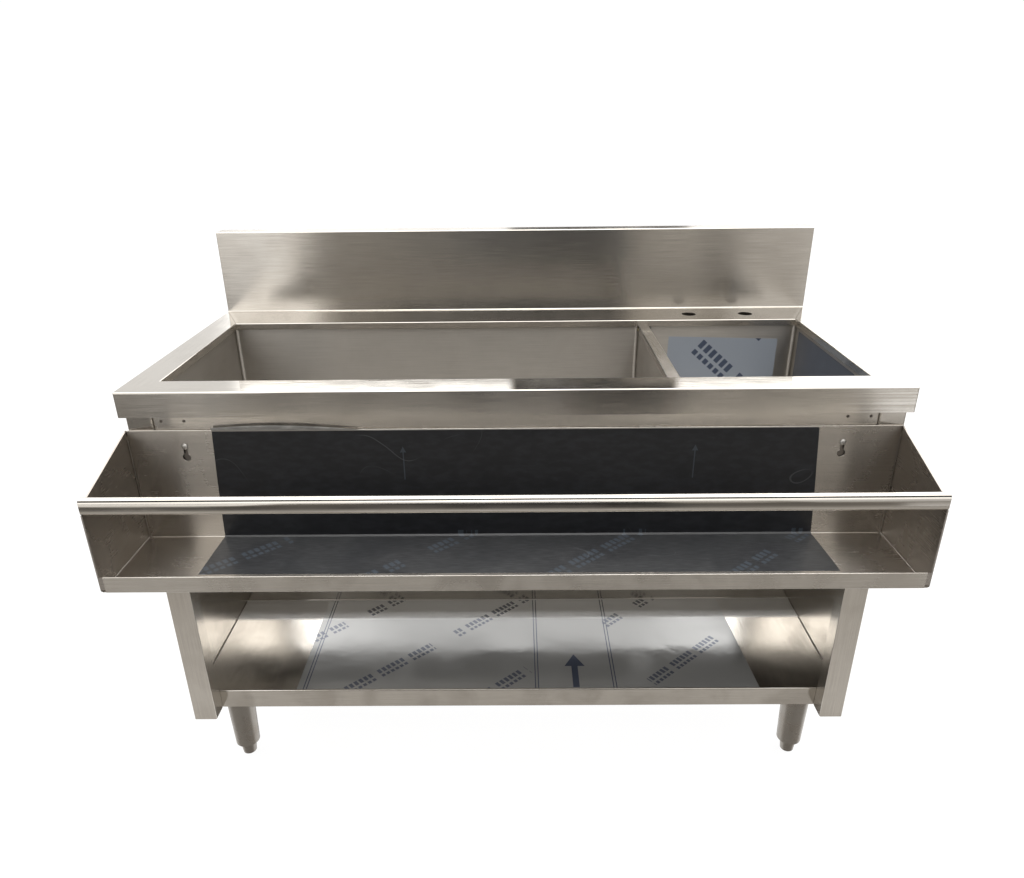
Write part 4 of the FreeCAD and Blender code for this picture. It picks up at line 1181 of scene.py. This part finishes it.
def stage_mesh(name, bm, label, unseen):
    """A mesh of the stage, unseen by some rays: the tree of its new material, and its outlet."""
    made = add_mesh(name, bm)
    for kind in unseen:
        setattr(made, "visible_" + kind, False)
    material = bpy.data.materials.new(label)
    material.use_nodes = True
    made.data.materials.append(material)
    return Tree(material.node_tree), material.node_tree.nodes["Material Output"].inputs["Surface"]


def make_card():
    """The room in front, which only reflections see: pale at the sides and dark in the middle."""
    bm = bmesh.new()
    corners = ((-9, -0.25), (9, -0.25), (9, 2.7), (-9, 2.7))
    bm.faces.new([bm.verts.new((across, -3, up)) for across, up in corners])
    t, outlet = stage_mesh("room_card", bm, "Room",
                           ("camera", "diffuse", "transmission", "shadow", "volume_scatter"))
    x, _, z = t.split(t.place())
    foot, low, high = (levels(t, x, bands, CARD_SPAN, CARD_PEAK)
                       for bands in (FOOT_BANDS, LOW_BANDS, HIGH_BANDS))
    level = t.blend(t.ease(z, 0.0, 0.25), foot, low)
    level = t.blend(t.ease(z, 0.75, 1.2), level, high)
    tone = t.mix(t.ease(level, 0.14, 0.3), NEUTRAL, WARM)
    tone = t.mix(t.ease(level, 0.5, 1.1), tone, NEUTRAL)
    t.feed(outlet, t.add("Emission", {"Color": tone, "Strength": level}).outputs[0])


def make_floor():
    """A pale floor that keeps a trace of the shadow under the bench."""
    bm = bmesh.new()
    bmesh.ops.create_grid(bm, x_segments=1, y_segments=1, size=9)
    t, outlet = stage_mesh("floor", bm, "Pale floor", ("glossy", "diffuse"))
    white = t.add("Emission", {"Color": WHITE, "Strength": 1.05}).outputs[0]
    pale = t.add("BsdfDiffuse", {"Color": (0.9, 0.9, 0.9, 1)}).outputs[0]
    t.feed(outlet, t.add("MixShader", {0: 0.10, 1: white, 2: pale}).outputs[0])


def make_light():
    """One wide soft light overhead."""
    data = bpy.data.lights.new("overhead", "AREA")
    data.shape = "RECTANGLE"
    data.size, data.size_y = 3.0, 2.0
    data.energy = 30
    made = bpy.data.objects.new("overhead", data)
    bpy.context.scene.collection.objects.link(made)
    made.location = (0.2, -0.2, 3.2)
    aim = Vector((0, 0, 0.8))
    made.rotation_euler = (aim - made.location).to_track_quat("-Z", "Y").to_euler()
    made.visible_camera = False


class BARSINK_OT_stage(bpy.types.Operator):
    """Set the camera, the floor, the surroundings and the lights"""
    bl_idname = "bar_sink.stage"
    bl_label = "Stage"

    def execute(self, context):
        look = context.scene.bar_stage
        data = bpy.data.cameras.new("camera")
        data.lens = look.lens
        data.sensor_width = 36
        data.shift_y = CAMERA_SHIFT
        camera = bpy.data.objects.new("camera", data)
        context.scene.collection.objects.link(camera)
        turn = (Matrix.Rotation(-look.yaw, 4, "Z") @ Matrix.Rotation(math.pi / 2 - look.pitch, 4, "X")
                @ Matrix.Rotation(look.roll, 4, "Z"))
        camera.matrix_world = Matrix.Translation(CAMERA_SPOT) @ turn
        context.scene.camera = camera
        make_world(look.sky)
        make_card()
        make_floor()
        make_light()
        context.scene.view_settings.view_transform = "Standard"
        context.scene.view_settings.look = "None"
        context.scene.cycles.use_denoising = True
        return {"FINISHED"}


STEPS = ("node_groups", "steel", "soft_goods", "trough_film", "shelf_film", "sink_films",
         "screws", "welds", "keyhole_rims", "strainer", "stage")


class BARSINK_PT_panel(bpy.types.Panel):
    """The bar sink's steps and settings"""
    bl_idname = "BARSINK_PT_panel"
    bl_label = "Bar sink"
    bl_space_type = "VIEW_3D"
    bl_region_type = "UI"
    bl_category = "Bar sink"

    def draw(self, context):
        for step in STEPS:
            self.layout.operator("bar_sink." + step)
        for name, settings in SETTINGS.items():
            box = self.layout.box()
            for key in settings.__annotations__:
                box.prop(getattr(context.scene, name), key)


CLASSES = (*SETTINGS.values(), BARSINK_OT_node_groups, BARSINK_OT_steel, BARSINK_OT_soft_goods,
           BARSINK_OT_trough_film, BARSINK_OT_shelf_film, BARSINK_OT_sink_films, BARSINK_OT_screws,
           BARSINK_OT_welds, BARSINK_OT_keyhole_rims, BARSINK_OT_strainer, BARSINK_OT_stage,
           BARSINK_PT_panel)


def register():
    """Add the settings, the operators and the panel."""
    for cls in CLASSES:
        bpy.utils.register_class(cls)
    for name, settings in SETTINGS.items():
        setattr(bpy.types.Scene, name, PointerProperty(type=settings))


def unregister():
    """Take them away again."""
    for name in SETTINGS:
        delattr(bpy.types.Scene, name)
    for cls in reversed(CLASSES):
        bpy.utils.unregister_class(cls)


def main():
    """Build every piece in order."""
    register()
    for step in STEPS:
        getattr(bpy.ops.bar_sink, step)()


if __name__ == "__main__":
    main()
